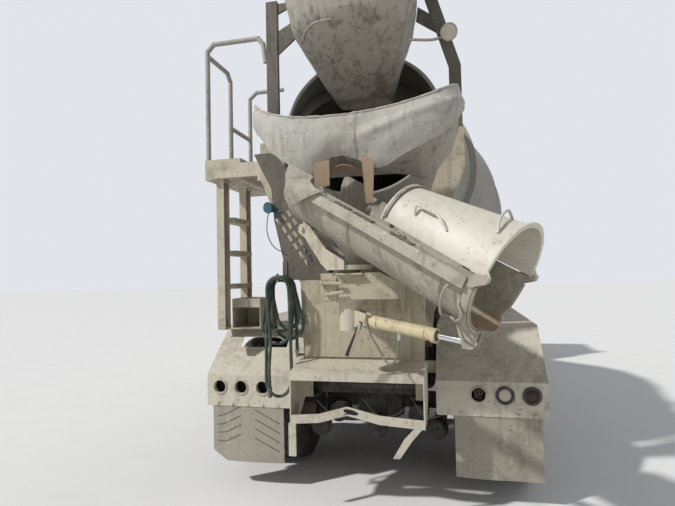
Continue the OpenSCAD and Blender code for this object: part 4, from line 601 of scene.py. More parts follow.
# Collector: the rim and the lower edge are heights over x; the sheet between them bulges and tucks under,
# and in plan it follows a rounded oblong that turns forward at both ends
collector = {"halfWidth": 0.722, "back": -0.415, "front": -0.078, "rim": 2.655, "thick": 0.007, "seamX": 0.058,
             "lowX": [-0.722, -0.69, -0.64, -0.56, -0.40, -0.32, -0.25, -0.20, -0.128, -0.04, 0.06, 0.14, 0.20, 0.26,
                      0.36, 0.50, 0.64, 0.70, 0.722],
             "lowZ": [2.650, 2.605, 2.560, 2.450, 2.335, 2.285, 2.262, 2.300, 2.378, 2.385, 2.352, 2.300, 2.285, 2.300,
                      2.362, 2.425, 2.500, 2.580, 2.650],
             "underX": [-0.36, -0.25, -0.12, 0.0, 0.10, 0.28, 0.38, 0.46, 0.56, 0.665, 0.715],
             "underZ": [2.315, 2.285, 2.285, 2.285, 2.285, 2.285, 2.270, 2.235, 2.285, 2.415, 2.560],
             "strips": [[(-0.240, 2.345), (-0.232, 2.190), (-0.205, 2.168), (-0.128, 2.188), (-0.128, 2.360)],
                        [(0.088, 2.375), (0.112, 2.052), (0.160, 2.058), (0.172, 2.345), (0.150, 2.372)]]}


# Offset along a plan normal by uneven lumps
def outLumps(p, out, size, height):
    d = lumps(p, size) * height
    return np.stack([out[:, :1] * d, out[:, 1:] * d, 0 * d], axis=2)


# Plan of the sheet: an oval in which the fourth powers of both coordinates add up to a constant, at places
# spaced evenly along it
def collectorPlan(s, steps):
    t = np.linspace(-math.pi / 2, math.pi / 2, 6001)
    x = s["halfWidth"] * np.sign(np.sin(t)) * np.abs(np.sin(t)) ** 0.5
    y = s["front"] - (s["front"] - s["back"]) * np.abs(np.cos(t)) ** 0.5
    return evenly(np.stack([x, y], axis=1), steps).T


# Height of the rim: second and fourth powers of x, a slight slope, and a sixth power that lifts the left end
def collectorRim(s, x):
    return s["rim"] + 0.17 * x**2 + 0.24 * x**4 + 0.04 * x + 0.058 * np.clip(-x / s["halfWidth"], 0, 1) ** 6


def makeCollector(s):
    x, y = collectorPlan(s, 141)
    out = unit(np.stack([-np.gradient(y), np.gradient(x)], axis=1))
    out = out * np.sign(np.sum(out * np.stack([x, y - 0.2], axis=1), axis=1))[:, None]
    v = np.linspace(0, 1, 29)
    top, low = collectorRim(s, x), np.interp(x, s["lowX"], s["lowZ"])
    z = top[:, None] + (low - top)[:, None] * v[None]
    tuck = 0.075 * np.clip(v - 0.45, 0, 1)[None] ** 1.6 * np.clip(1.35 - np.abs(x) * 1.6, 0.1, 1)[:, None]
    creaseZ = 2.47 + 0.35 * np.clip(x, 0, 1)[:, None]
    crease = 0.02 * np.exp(-((z - creaseZ) / 0.035) ** 2) * np.clip(x * 5, 0, 1)[:, None]
    d = 0.022 * np.sin(v * math.pi)[None] - tuck + crease
    p = np.stack([x[:, None] + out[:, :1] * d, y[:, None] + out[:, 1:] * d + rearFace, z], axis=2)
    p += outLumps(p, out, 0.16, 0.0035) + outLumps(p, out, 0.05, 0.0009)
    piece = Piece("collectorBowl", "collectorGrey", slot="hopper_steel", replaces=["collector"], sharp=50)
    piece.sheet(p[:, ::-1], s["thick"])
    # Bead along the rim, and the weld down the face
    rim = p[:, 0] + (0, 0, -0.002)
    piece.tube(rim, 0.0075 + 0.002 * lumps(rim, 0.06), 10)
    k = int(np.argmin(np.abs(x - s["seamX"])))
    piece.tube(p[k, 1:-1] + (0, -0.001, 0), 0.003, 8)
    piece.make()
    makeUnderside(s)
    strips = Piece("collectorStrips", "rustyTan", slot="hopper_steel")
    for outline in s["strips"]:
        strips.slab(outline, (1, 0, 0), (0, 0, 1), at(0, s["back"] + 0.015, 0), s["thick"])
    # Curved lip under the lens-shaped gap
    u, w = grid(np.linspace(-1, 1, 24), np.array([0, 0.5, 1]))
    lip = np.stack([-0.02 + 0.115 * u, -0.40 + 0.10 * u * u + 0.05 * w + rearFace,
                    2.322 - 0.035 * u * u - 0.018 * u - 0.028 * w], axis=2)
    strips.sheet(lip, 0.005)
    strips.make()


# Underside: from behind the lower edge it curves down and forward to its own lower edge
def makeUnderside(s):
    x = np.linspace(s["underX"][0], s["underX"][-1], 90)
    v = np.linspace(0, 1, 18)
    top = np.interp(x, s["lowX"], s["lowZ"]) + 0.030
    low = np.minimum(np.interp(x, s["underX"], s["underZ"]), top - 0.02)
    yTop = np.interp(x, *collectorPlan(s, 241)) + 0.045
    yLow = np.maximum(-0.16, yTop + 0.02)
    z = top[:, None] + (low - top)[:, None] * v[None] ** 1.15
    y = yTop[:, None] + (yLow - yTop)[:, None] * v[None] ** 1.5
    q = np.stack([x[:, None] + 0 * v, y + rearFace, z], axis=2)
    q[:, :, 1] += 0.004 * lumps(q, 0.12)
    under = Piece("collectorUnderside", "hopperGrey", slot="hopper_steel", sharp=50)
    under.sheet(q, -s["thick"])
    under.make()


makeCollector(collector)

# Charge hopper: rows of height, half width, rear, front; each level is a rounded oblong, and the levels between
# the rows follow smooth curves through them
hopper = {"rows": [(3.850, 0.505, -0.565, 0.060), (3.590, 0.468, -0.480, 0.120), (3.330, 0.425, -0.385, 0.162),
                   (3.130, 0.322, -0.150, 0.268), (2.950, 0.215, 0.180, 0.436)],
          "square": 0.62, "thick": 0.007, "dent": (-0.20, -0.50, 3.66), "dentSize": (0.13, 0.25, 0.16), "bandLow": 3.66,
          "most": 0.503}


# Point of the hopper: width and depth at this height times signed powers of the angle's cosine and sine
def hopperSurface(s, a, z):
    rows = np.array(s["rows"])[::-1]
    level = np.interp(z, rows[:, 0], np.arange(len(rows)))
    fine = curve(rows[:, 1:], 12)
    k = np.clip(level * 12, 0, len(fine) - 1)
    w, rear, front = (np.interp(k, np.arange(len(fine)), column) for column in fine.T)
    c, sn = np.cos(a), np.sin(a)
    x = w * np.sign(c) * np.abs(c) ** s["square"]
    y = (rear + front) / 2 + (front - rear) / 2 * np.sign(sn) * np.abs(sn) ** s["square"]
    return np.stack([x, y + rearFace, z + 0 * x], axis=-1)


# Two surfaces a wall apart: the oblong with lumps, less a bell-shaped dent
def makeHopper(s):
    a, z = grid(np.linspace(0, 2 * math.pi, 112, endpoint=False), np.linspace(2.952, 3.848, 60))
    p = hopperSurface(s, a, z)
    out = unit((p - p.mean(axis=0, keepdims=True)) * (1, 1, 0))
    p = p + out * (0.004 * lumps(p, 0.22) + 0.0025 * lumps(p, 0.05))[..., None]
    near = np.sum(((p - at(*s["dent"])) / s["dentSize"]) ** 2, axis=2)
    p = p - out * (0.022 * np.exp(-near))[..., None]
    p[..., 0] = np.clip(p[..., 0], -s["most"], s["most"])
    piece = Piece("hopperShell", "hopperGrey", slot="hopper_steel", replaces=["charge_hopper"], sharp=60)
    piece.skin(np.concatenate([p, (p - out * s["thick"])[:, ::-1]], axis=1), ring=True)
    # Rolled rim, the tilted band round the upper part, and the weld down the rear corner
    piece.tube(np.vstack([p[:, -1], p[:1, -1]]) - (0, 0, 0.008), 0.011, 8)
    turns = np.linspace(math.pi * 0.62, math.pi * 2.38, 90)
    level = s["bandLow"] + 0.11 * (1 - np.cos(turns)) * 0.5 + 0.05 * np.sin(turns - 0.6)
    band = hopperSurface(s, turns, np.clip(level, 3.0, 3.84))
    side = unit((band - band.mean(axis=0)) * (1, 1, 0))
    piece.tube(band + side * 0.006, 0.018, 8, flat=0.45, up=(0, 0, 1))
    weld = hopperSurface(s, np.full(40, math.pi * 1.86), np.linspace(3.0, 3.82, 40))
    piece.tube(weld + (0.004, -0.003, 0), 0.005, 8)
    piece.make()
    rod = Piece("hopperRod", "collectorGrey", slot="hopper_steel")
    turns = np.linspace(math.pi * 1.22, math.pi * 1.47, 30)
    wire = hopperSurface(s, turns, 3.245 + 0.075 * np.sin(np.linspace(0.1, 1.75, 30)))
    rod.tube(wire + unit((wire - at(0, 0.1, 3.2)) * (1, 1, 0)) * 0.010, 0.0055, 8)
    rod.make()


makeHopper(hopper)
print("stage: hopper and collector")

# Mud flaps: a sheet over across and down that bows a little; ribs and bolts stand on it
flaps = {"front": 0.0055, "thick": 0.009, "top": 0.640, "bottom": 0.181, "in": 0.627, "out": 1.200,
         "boltX": (0.67, 1.16, 5), "boltZ": 0.621, "fenderBolts": [(0.86, 0.70), (1.06, 0.655)]}


# Point of a flap: u goes outwards and v down between straight edges, and sines bow it rearward
def flapPoint(s, side, u, v):
    x = side * (s["in"] + (s["out"] - s["in"]) * u)
    # The left flap's outer corner is cut off; the right one hangs lower at its outer end
    cut = 0.011 + 0.364 * np.clip(u - 0.80, 0, 1) if side < 0 else 0.018 * np.clip(0.35 - u, 0, 1)
    bottom = s["bottom"] + cut
    z = s["top"] + (bottom - s["top"]) * v
    bow = 0.006 * np.sin(u * 5.0 + side) * v + 0.010 * np.sin(u * math.pi) * v**2
    return np.stack([x, s["front"] + s["thick"] - bow + rearFace, z], axis=-1)


def makeFlaps(s):
    piece = Piece("mudFlapSheets", "flapRubber", slot="flap_rubber", replaces=["mud_flaps"])
    ribs = Piece("mudFlapRibs", "guardDark", slot="flap_rubber")
    u, v = grid(np.linspace(0, 1, 34), np.linspace(0, 1, 28))
    for side in (-1, 1):
        p = flapPoint(s, side, u, v)
        piece.sheet(p, side * s["thick"])
    # Slanted ribs on the left flap, rising outward on its outer half and inward on its inner half; their
    # dark cream is painted shade along each ridge
    t = np.linspace(0, 1, 14)
    for k in range(4):
        for u0, u1 in ((0.94, 0.60), (0.06, 0.40)):
            drop = 0.30 + 0.155 * k
            down = np.clip(drop - 0.22 * t + (0.05 if u0 < 0.5 else 0), 0.09, 0.97)
            line = flapPoint(s, -1, u0 + (u1 - u0) * t, down)
            ribs.tube(line - (0, s["thick"], 0), 0.0045, 6, flat=0.6, up=(0, 1, 0))
    piece.make()
    ribs.make()
    bolts = Piece("fenderBolts", "fenderCream", slot="body_paint")
    for side in (-1, 1):
        for x in np.linspace(*s["boltX"]):
            bolts.bolt(at(side * x, -0.0005, s["boltZ"]), (0, -1, 0), 0.010)
    for x, z in s["fenderBolts"]:
        bolts.bolt(at(x, -0.0005, z), (0, -1, 0), 0.008)
    bolts.make()


makeFlaps(flaps)

# Tail lamps: the left tubes are empty, the right has one empty hole, a ring round a blank painted lens, and a dark lens
lamps = {"x": [0.791, 0.965, 1.139], "z": 0.751, "hole": 0.0568, "depth": 0.075}


def makeLamps(s):
    rearward = (0, -1, 0)
    liners = Piece("lampTubes", "holeDark", slot="lamp_lens")
    rings = Piece("lampRings", "darkPlastic", slot="lamp_lens", replaces=["tail_lamps"])
    rims = Piece("lampRims", "fenderCream", slot="body_paint")
    r, deep, z = s["hole"], s["depth"], s["z"]
    # The cup at the back of each empty hole is near-black: painted shade deep in the hole
    cup = [(0, -deep), (r, -deep), (r, -0.022), (r - 0.0015, -0.022), (r - 0.0015, 0.002 - deep), (0, 0.002 - deep)]
    rim = [(r - 0.001, -0.03), (r - 0.001, 0.009), (r - 0.006, 0.011), (r - 0.009, 0.007), (r - 0.008, -0.03)]
    for x in [-v for v in s["x"]] + s["x"][:1]:
        liners.lathe(cup, at(x, 0.0, z), rearward, 36)
        rims.lathe(rim, at(x, 0.0, z), rearward, 40, ring=True)
    rims.make()
    bezel = [(r - 0.014, 0.0), (r - 0.012, 0.008), (r - 0.004, 0.0105), (r + 0.005, 0.008), (r + 0.006, 0.001),
             (r - 0.001, 0.0), (r - 0.001, -0.03), (r - 0.014, -0.03)]
    for x in s["x"][1:]:
        rings.lathe(bezel, at(x, -0.0008, z), rearward, 40, ring=True)
    # Blank: a low dome. Lens: steps that rise towards the middle
    blank = Piece("lampBlank", "paleLens", slot="lamp_lens")
    inside = r - 0.0145
    dome = [(inside * math.cos(a), 0.006 * math.sin(a)) for a in np.linspace(0, math.pi / 2, 8)[:-1]]
    blank.lathe([(0, -0.02), (inside, -0.02)] + dome + [(0, 0.006)], at(s["x"][1], 0, z), rearward, 40)
    blank.make()
    lens = Piece("lampLens", "redLens", slot="lamp_lens")
    steps = [(0, -0.02), (inside, -0.02), (inside, 0.001)]
    for k in range(7):
        q = (r - 0.0165) * (1 - k / 7.0)
        steps += [(q, 0.0035 + 0.0006 * k), (q - 0.002, 0.0022 + 0.0006 * k)]
    lens.lathe(steps + [(0, 0.0075)], at(s["x"][2], 0, z), rearward, 40)
    lens.make()
    liners.make()
    rings.make()
    # Bare wires in the first hole on the right
    wires = Piece("lampWires", "dustyHose", slot="trim")
    for k in range(5):
        q = rng.uniform(-1, 1, (5, 2)) * 0.036
        wires.tube(curve([at(s["x"][0] + a, 0.065 - 0.011 * i, z + b) for i, (a, b) in enumerate(q)], 6), 0.0022, 6)
    wires.make()


makeLamps(lamps)
print("stage: flaps and lamps")

# Tyres: the profile goes from bead to bead; the tread's radius drops in zigzag grooves round it and in cross grooves
tyres = {"rear": {"radius": 0.515, "width": 0.276, "bead": 0.288, "blocks": 52, "deep": 0.012},
         "front": {"radius": 0.560, "width": 0.420, "bead": 0.288, "blocks": 56, "deep": 0.012},
         # Places across the half width and how far the radius has risen there, from the bead to the tread's edge
         "sideAcross": [0.86, 0.93, 0.99, 1.0, 0.98, 0.94, 0.88, 0.82],
         "sideRise": [0.0, 0.12, 0.30, 0.48, 0.66, 0.80, 0.91, 0.965], "treadHalf": 0.78, "treadSteps": 21,
         "grooves": (-0.36, 0.0, 0.36)}


def axleKind(name):
    return "front" if "front" in name else "rear"


# Rows round the axle: radius is bead plus rise over the side, less the deepest groove at that place and turn
def tyreGrid(s, centre, shift, sides):
    side, rise = np.array(tyres["sideAcross"]), np.array(tyres["sideRise"])
    half, steps = tyres["treadHalf"], tyres["treadSteps"]
    across = np.concatenate([-side, np.linspace(-half, half, steps), side[::-1]])
    rise = np.concatenate([rise, 1 - 0.022 * np.linspace(-1, 1, steps) ** 2, rise[::-1]])
    radius = s["bead"] + (s["radius"] - s["bead"]) * rise
    turn = np.arange(sides) * 2 * math.pi / sides
    step = (turn * s["blocks"] / (2 * math.pi)) % 1.0
    zig = 0.05 * np.where(step < 0.5, step * 4 - 1, 3 - step * 4)
    a = across[None, :]
    groove = (np.abs(a) > 0.40) * (np.abs(a) < 0.97) * (step[:, None] < 0.24)
    for place in tyres["grooves"]:
        groove = np.maximum(groove, np.clip(1.6 - np.abs(a - place - zig[:, None]) / 0.045, 0, 1))
    r = radius[None] - s["deep"] * groove * (rise[None] > 0.85)
    c = np.asarray(centre) + (shift, 0, 0)
    x = c[0] + s["width"] / 2 * a + 0 * r
    return np.stack([x, c[1] + r * np.cos(turn)[:, None], c[2] + r * np.sin(turn)[:, None]], axis=2)


def makeTyres():
    for name in [n for n in nodes if n.startswith("tyre")]:
        low, high = corners(name)
        s = tyres[axleKind(name)]
        apart = (high[0] - low[0] - s["width"]) / 2
        piece = Piece(pieceName("tread", name), "tyreRubber", body=bodyOf[name], slot="tyre_rubber",
                      replaces=[name], sharp=32)
        for shift in [0.0] if axleKind(name) == "front" else [-apart, apart]:
            piece.skin(tyreGrid(s, (low + high) / 2, shift, s["blocks"] * 5), ring=True)
        piece.make()


bodyOf = {n: b for b, names in frame["record"]["behaviour"]["bodies"].items() for n in names}
makeTyres()
print("stage: tyres")

# Where a straight line first meets a CAD node
def hit(name, start, way):
    found, place = nodes[name].ray_cast(Vector(start), Vector(unit(np.array(way, float))))[:2]
    return np.array(place if found else start, float)


# The chute's own frame: x down the trough, n to its far side, z up across its slope
chute = {"turn": 28.0, "slope": 28.2, "postY": -0.45, "reach": -0.286, "height": 2.2433, "radius": 0.286, "length": 1.5,
         "head": [(-0.358, -0.583, 2.200), (-0.179, -0.673, 2.185), (-0.060, -0.745, 2.085), (-0.294, -0.570, 2.020)],
         "headOut": (0.0, 0.0, 0.045, 0.065), "bandX": 1.445, "welds": (1.30, 0.62), "eyes": (0.9924, 0.36),
         "bolts": (0.30, 0.78, 1.20), "foldX": 1.508, "foldZ": 0.038, "foldR": 0.280, "foldTaper": 0.0903}
chuteTurn, chuteSlope = math.radians(chute["turn"]), math.radians(chute["slope"])
chuteAcross = (math.sin(chuteTurn), math.cos(chuteTurn), 0.0)
chuteAlong = (math.cos(chuteTurn) * math.cos(chuteSlope), -math.sin(chuteTurn) * math.cos(chuteSlope),
              -math.sin(chuteSlope))


# Distance out from the post is x along the slope and z square to it; the chute's turn then gives place in plan
def chutePlace(x, n, z, s=chute):
    x, n, z = np.broadcast_arrays(*(np.asarray(v, float) for v in (x, n, z)))
    out = s["reach"] + x * math.cos(chuteSlope) + z * math.sin(chuteSlope)
    return np.stack([out * math.cos(chuteTurn) + n * math.sin(chuteTurn),
                     s["postY"] + rearFace - out * math.sin(chuteTurn) + n * math.cos(chuteTurn),
                     s["height"] - x * math.sin(chuteSlope) + z * math.cos(chuteSlope)], axis=-1)


# Point on the outside of the main trough, or of the fold-over trough, at an angle from its lowest or highest line
def trough(x, angle, rise=0.0):
    r = chute["radius"] + rise
    return chutePlace(x, r * np.sin(angle), -r * np.cos(angle))


def foldTrough(x, angle, rise=0.0):
    r = chute["foldR"] - chute["foldTaper"] * np.asarray(x, float) + rise
    return chutePlace(chute["foldX"] - np.asarray(x, float), r * np.sin(angle), chute["foldZ"] + r * np.cos(angle))


# Bent rods as (along, angle, rise) on a trough
rods = {"mainD": [(1.3746, -1.494, 0.002), (1.350, -1.25, 0.030), (1.3412, -0.976, 0.036), (1.334, -0.60, 0.034),
                  (1.333, -0.333, 0.003)],
        "mainBar": [(1.4272, -1.236, 0.004), (1.440, -1.10, 0.026), (1.4706, -0.951, 0.030), (1.42, -0.62, 0.022),
                    (1.345, -0.36, 0.004)],
        "foldGrip": [(0.5255, -1.122, 0.002), (0.538, -1.02, 0.026), (0.5400, -0.945, 0.034), (0.47, -0.950, 0.036),
                     (0.4025, -0.958, 0.034), (0.352, -1.04, 0.024), (0.3092, -1.130, 0.002)],
        "foldLoop": [(0.1174, -0.034, 0.002), (0.150, 0.02, 0.030), (0.1645, 0.065, 0.034), (0.138, -0.24, 0.038),
                     (0.1115, -0.538, 0.036), (0.094, -0.66, 0.022), (0.0788, -0.745, 0.002)]}


# Fittings lie on the troughs' arcs, or are profiles carried along their lips
def makeChuteFittings(s):
    piece = Piece("chuteFittings", "chuteCream", body="main_chute", sharp=40)
    # Folded flange along the near lip, a bead along the far one: a profile across carried down the trough
    r, x = s["radius"], np.linspace(0.30, 1.44, 60)
    section = [(-0.001, 0.012), (-0.036, 0.010), (-0.041, 0.004), (-0.043, -0.050), (-0.037, -0.052),
               (-0.034, 0.001), (-0.001, 0.003)]
    wave = 0.0025 * lumps(chutePlace(x, -r, 0.0), 0.45)
    piece.skin(np.stack([chutePlace(x, n - r + wave * (n < -0.01), z) for n, z in section], axis=1))
    # Bell-mouthed plate at the head of the near side: blended from four corners, bulging outwards
    u, v = grid(np.linspace(0, 1, 24), np.linspace(0, 1, 16))
    across = np.array(chuteAcross)
    a, b, c, d = places(s["head"]) - np.outer(s["headOut"], across)
    bell = sum(w[..., None] * p for w, p in (((1 - u) * (1 - v), a), (u * (1 - v), b), (u * v, c), ((1 - u) * v, d)))
    bulge = 0.030 * np.sin(u * math.pi) + 0.035 * np.sin(v * math.pi) * (0.4 + 0.6 * u)
    bell = bell - bulge[..., None] * across
    bell[..., 0] -= 0.02 * np.sin(v * math.pi) * (1 - u)
    piece.sheet(bell, 0.006)
    piece.tube(chutePlace(x, r + 0.004, 0.004), 0.009, 10)
    # Rolled ring round the outlet end, the flat band before it, and two weld rings
    turn = np.linspace(-1.5, 1.5, 48)
    piece.tube(trough(s["length"] - 0.012, turn, 0.006), 0.0085, 10)
    u, a = grid(np.array([0.0, 0.1, 0.9, 1.0]), turn)
    piece.sheet(trough(s["bandX"] + 0.034 * u, a, 0.0105 - 0.002 * (np.abs(u - 0.5) > 0.45)), 0.010)
    for x0 in s["welds"]:
        piece.tube(trough(x0, turn, 0.0005), 0.003, 8)
    eye = circle(8, 0.0052) + (0.0185, 0)
    for x0 in s["eyes"]:
        piece.lathe(eye, chutePlace(x0, -r - 0.012, 0.026), chuteAcross, 24, ring=True)
    for name in ("mainD", "mainBar"):
        piece.tube(curve([trough(*q) for q in rods[name]], 7), 0.0075, 10)
    for x0 in s["bolts"]:
        piece.bolt(chutePlace(x0, -r - 0.024, -0.016), -across, 0.008)
    piece.make()
    tongue = Piece("chuteTongue", "rustyTan", body="main_chute", slot="hopper_steel")
    u, a = grid(np.linspace(0, 1, 12), np.linspace(-0.20, 0.62, 20))
    down = 1.41 + 0.13 * u * (1 - 0.3 * (a - 0.2) ** 2 / 0.2)
    tongue.sheet(trough(down, a, -0.013 - 0.002 * u + 0.0012 * np.sin(9 * a)), -0.005)
    tongue.make()
    fold = Piece("foldFittings", "foldCream", body="fold_chute", sharp=40)
    for name in ("foldGrip", "foldLoop"):
        fold.tube(curve([foldTrough(*q) for q in rods[name]], 7), 0.0078, 10)
    fold.tube(foldTrough(0.006, np.linspace(-1.45, 1.45, 44), 0.003), 0.0065, 8)
    fold.make()
    band = Piece("foldBand", "hopperGrey", body="fold_chute", slot="hopper_steel", sharp=40)
    u, a = grid(np.array([0.0, 0.2, 0.8, 1.0]), np.linspace(-1.48, 1.48, 44))
    band.sheet(foldTrough(0.694 + 0.022 * u, a, 0.0075 - 0.002 * (np.abs(u - 0.5) > 0.4)), 0.006)
    for a in (-1.3, -0.4, 0.4, 1.3):
        band.ball(foldTrough(0.705, a, 0.0085), 0.006, 10)
    band.make()


makeChuteFittings(chute)

# Lift cylinder: collars on the barrel as (place along it, width, height), its hose hanging in a U, and the
# turret's thin stay
lift = {"axis": (0.875938, -0.465745, -0.125754),
        "collars": [(0.262, 0.030, 0.007), (0.205, 0.006, 0.003), (-0.215, 0.006, 0.003), (-0.14, 0.022, 0.004)],
        "hose": [(0.328, -0.620, 1.236), (0.327, -0.620, 1.20), (0.322, -0.620, 1.15), (0.310, -0.612, 1.095),
                 (0.288, -0.598, 1.062), (0.262, -0.580, 1.052), (0.238, -0.565, 1.066), (0.215, -0.552, 1.10),
                 (0.170, -0.530, 1.170), (0.132, -0.512, 1.232), (0.122, -0.508, 1.262)],
        "stay": [(-0.018, -0.500, 1.085), (0.020, -0.512, 1.165), (0.060, -0.525, 1.245), (0.088, -0.535, 1.300)]}


# Collars are turned about the barrel's axis, hose and stay are tubes along smooth curves
def makeLift(s):
    axis = unit(np.array(s["axis"]))
    low, high = corners("lift_barrel")
    centre = (low + high) / 2
    radius = float(np.linalg.norm(np.cross(hit("lift_barrel", centre - (0, 0, 1), (0, 0, 1)) - centre, axis)))
    piece = Piece("liftFittings", "barrelYellow", body="lift_barrel", slot="cylinder_paint")
    for shift, wide, tall in s["collars"]:
        w, foot, r = wide / 2, radius - 0.004, radius + tall
        collar = [(foot, -w), (r - 0.001, -w), (r, 0.001 - w), (r, w - 0.001), (r - 0.001, w), (foot, w)]
        piece.lathe(collar, centre + axis * shift, axis, 36, ring=True)
    piece.make()
    hoses = Piece("liftHose", "dustyHose", body="lift_barrel", slot="hose_rubber")
    path = curve(places(s["hose"]), 5)
    hoses.tube(path, 0.0072, 10)
    hoses.make()
    ends = Piece("liftHoseEnds", "brightSteel", body="lift_barrel", slot="bright_steel")
    nut = [(0, -0.014), (0.0085, -0.014), (0.0085, 0.004), (0.0120, 0.004), (0.0120, 0.014), (0.0095, 0.016),
           (0.0095, 0.036), (0, 0.036)]
    for end, beside in ((0, 1), (-1, -2)):
        ends.lathe(nut, path[end], path[beside] - path[end], 6)
    ends.make()
    stay = Piece("turretStay", "chassisBlack", body="chute_turret", slot="chassis_paint")
    stay.tube(curve(places(s["stay"]), 4), 0.0125, 10)
    stay.make()


makeLift(lift)
print("stage: chute and lift fittings")

# Small things at the rear: brake chambers on the axle, lamps, loose wires in the bumper. The chamber's rod and
# hose, the cables and the wires are given as steps from the chamber, the lamp or the wire's start
rear = {"chambers": [(-0.452, 0.455, 0.365), (0.482, 0.455, 0.377)], "cover": (0.015, 0.470, 0.358), "axleY": 0.70,
        "can": [(0, -0.075), (0.055, -0.075), (0.072, -0.062), (0.078, -0.010), (0.087, -0.008), (0.087, 0.008),
                (0.078, 0.010), (0.075, 0.060), (0.060, 0.074), (0.018, 0.076), (0.018, 0.092), (0, 0.092)],
        "brakeHose": [(0.03, -0.01, 0.084), (0.04, 0, 0.16), (0.02, 0.10, 0.24), (-0.01, 0.2, 0.20)],
        "coverPlate": [(0, 0.03), (0.030, 0.026), (0.062, 0.010), (0.068, -0.004), (0.086, -0.008), (0.086, -0.022),
                       (0.070, -0.03), (0.070, -0.20), (0, -0.20)],
        "tealLamp": (-0.672, -0.112, 2.102), "tealWay": (-0.35, -0.90, -0.10), "guardEdge": (-0.585, -0.085, 2.075),
        "tealShell": [(0, -0.050), (0.018, -0.048), (0.032, -0.030), (0.040, 0.0), (0.043, 0.012), (0.040, 0.018),
                      (0.036, 0.012), (0, 0.012)],
        "tealCable": [(-0.008, 0.045, -0.02), (-0.030, 0.05, -0.07), (-0.032, 0.04, -0.17), (0, 0.035, -0.26),
                      (0.05, 0.03, -0.31), (0.105, 0.02, -0.33)],
        "workLamp": (0.668, -0.055, 3.282), "workWay": (0.25, -0.85, -0.46), "workStemZ": 3.26,
        "workShell": [(0, -0.052), (0.030, -0.050), (0.050, -0.030), (0.058, 0.004), (0.062, 0.010), (0.058, 0.016),
                      (0.052, 0.008), (0, 0.006)],
        "wireStarts": [(-0.42, 0.62, 0.52), (-0.06, 0.65, 0.54), (0.30, 0.68, 0.56)]}


def makeRear(s):
    piece = Piece("brakeChambers", "chassisBlack", slot="chassis_paint")
    for x, y, z in s["chambers"]:
        piece.lathe(s["can"], at(x, y, z), (0, -1, 0), 32)
        axle = s["axleY"]
        piece.tube(places([(x, y + 0.07, z), (x, (y + axle) / 2, z + 0.02), (x, axle, z + 0.05)]), 0.022, 12)
        piece.tube(curve(at(x, y, z) + s["brakeHose"], 6), 0.008, 8)
    x, y, z = s["cover"]
    piece.lathe(s["coverPlate"], at(x, y, z), (0, -1, 0), 32)
    for right, up in circle(10, 0.078):
        piece.bolt(at(x + right, y + 0.008, z + up), (0, -1, 0), 0.006)
    piece.make()
    lamp = Piece("rearWorkLamp", "tealShell", slot="trim")
    centre, edge = at(*s["tealLamp"]), at(*s["guardEdge"])
    lamp.lathe(s["tealShell"], centre, s["tealWay"], 24)
    start = centre + (0, 0.03, -0.02)
    lamp.tube([start, (start + edge) / 2 + (0, 0, -0.006), edge + (0.004, 0, 0)], 0.008, 8)
    lamp.make()
    wire = Piece("rearLampCable", "blackHose", slot="hose_rubber")
    wire.tube(curve(centre + s["tealCable"], 6), 0.0035, 8)
    wire.make()
    work = Piece("topWorkLamp", "fenderCream", slot="body_paint")
    centre = at(*s["workLamp"])
    work.lathe(s["workShell"], centre, s["workWay"], 28)
    side = hopperSurface(hopper, np.array(0.0), np.array(s["workStemZ"]))
    stem = [side + (-0.010, 0, 0), (side + centre) / 2 + (0.02, 0.05, -0.01), centre + (0, 0.045, 0)]
    work.tube(curve(stem, 6), 0.010, 8)
    work.make()
    wires = Piece("bumperWires", "dustyHose", slot="trim")
    for x, z, low in s["wireStarts"]:
        rows = [(x, 0.20, z), (x + 0.12, 0.16, 0.54), (x + 0.25, 0.18, low), (x + 0.34, 0.22, 0.60)]
        wires.tube(curve(places(rows), 6), 0.0035, 8)
    wires.make()


makeRear(rear)

# Plates and pins welded round the chute post, as (low corner, high corner) and (from, to, radius), straps over
# the trough as (from, to) along it, and the painted shade of the hole in the dented bar as (x, lowest z, highest z)
postWork = {"plates": [((-0.142, -0.462, 1.430), (-0.062, -0.446, 1.585)),
                       ((-0.060, -0.492, 1.592), (0.110, -0.440, 1.604))],
            "pins": [((-0.165, -0.478, 1.545), (-0.020, -0.484, 1.540), 0.011),
                     ((-0.130, -0.478, 1.470), (-0.010, -0.484, 1.490), 0.010)],
            "face": -0.452, "straps": [(0.50, 0.62), (0.66, 0.80), (0.93, 1.09)], "oval": (-0.030, 0.62, 0.80)}


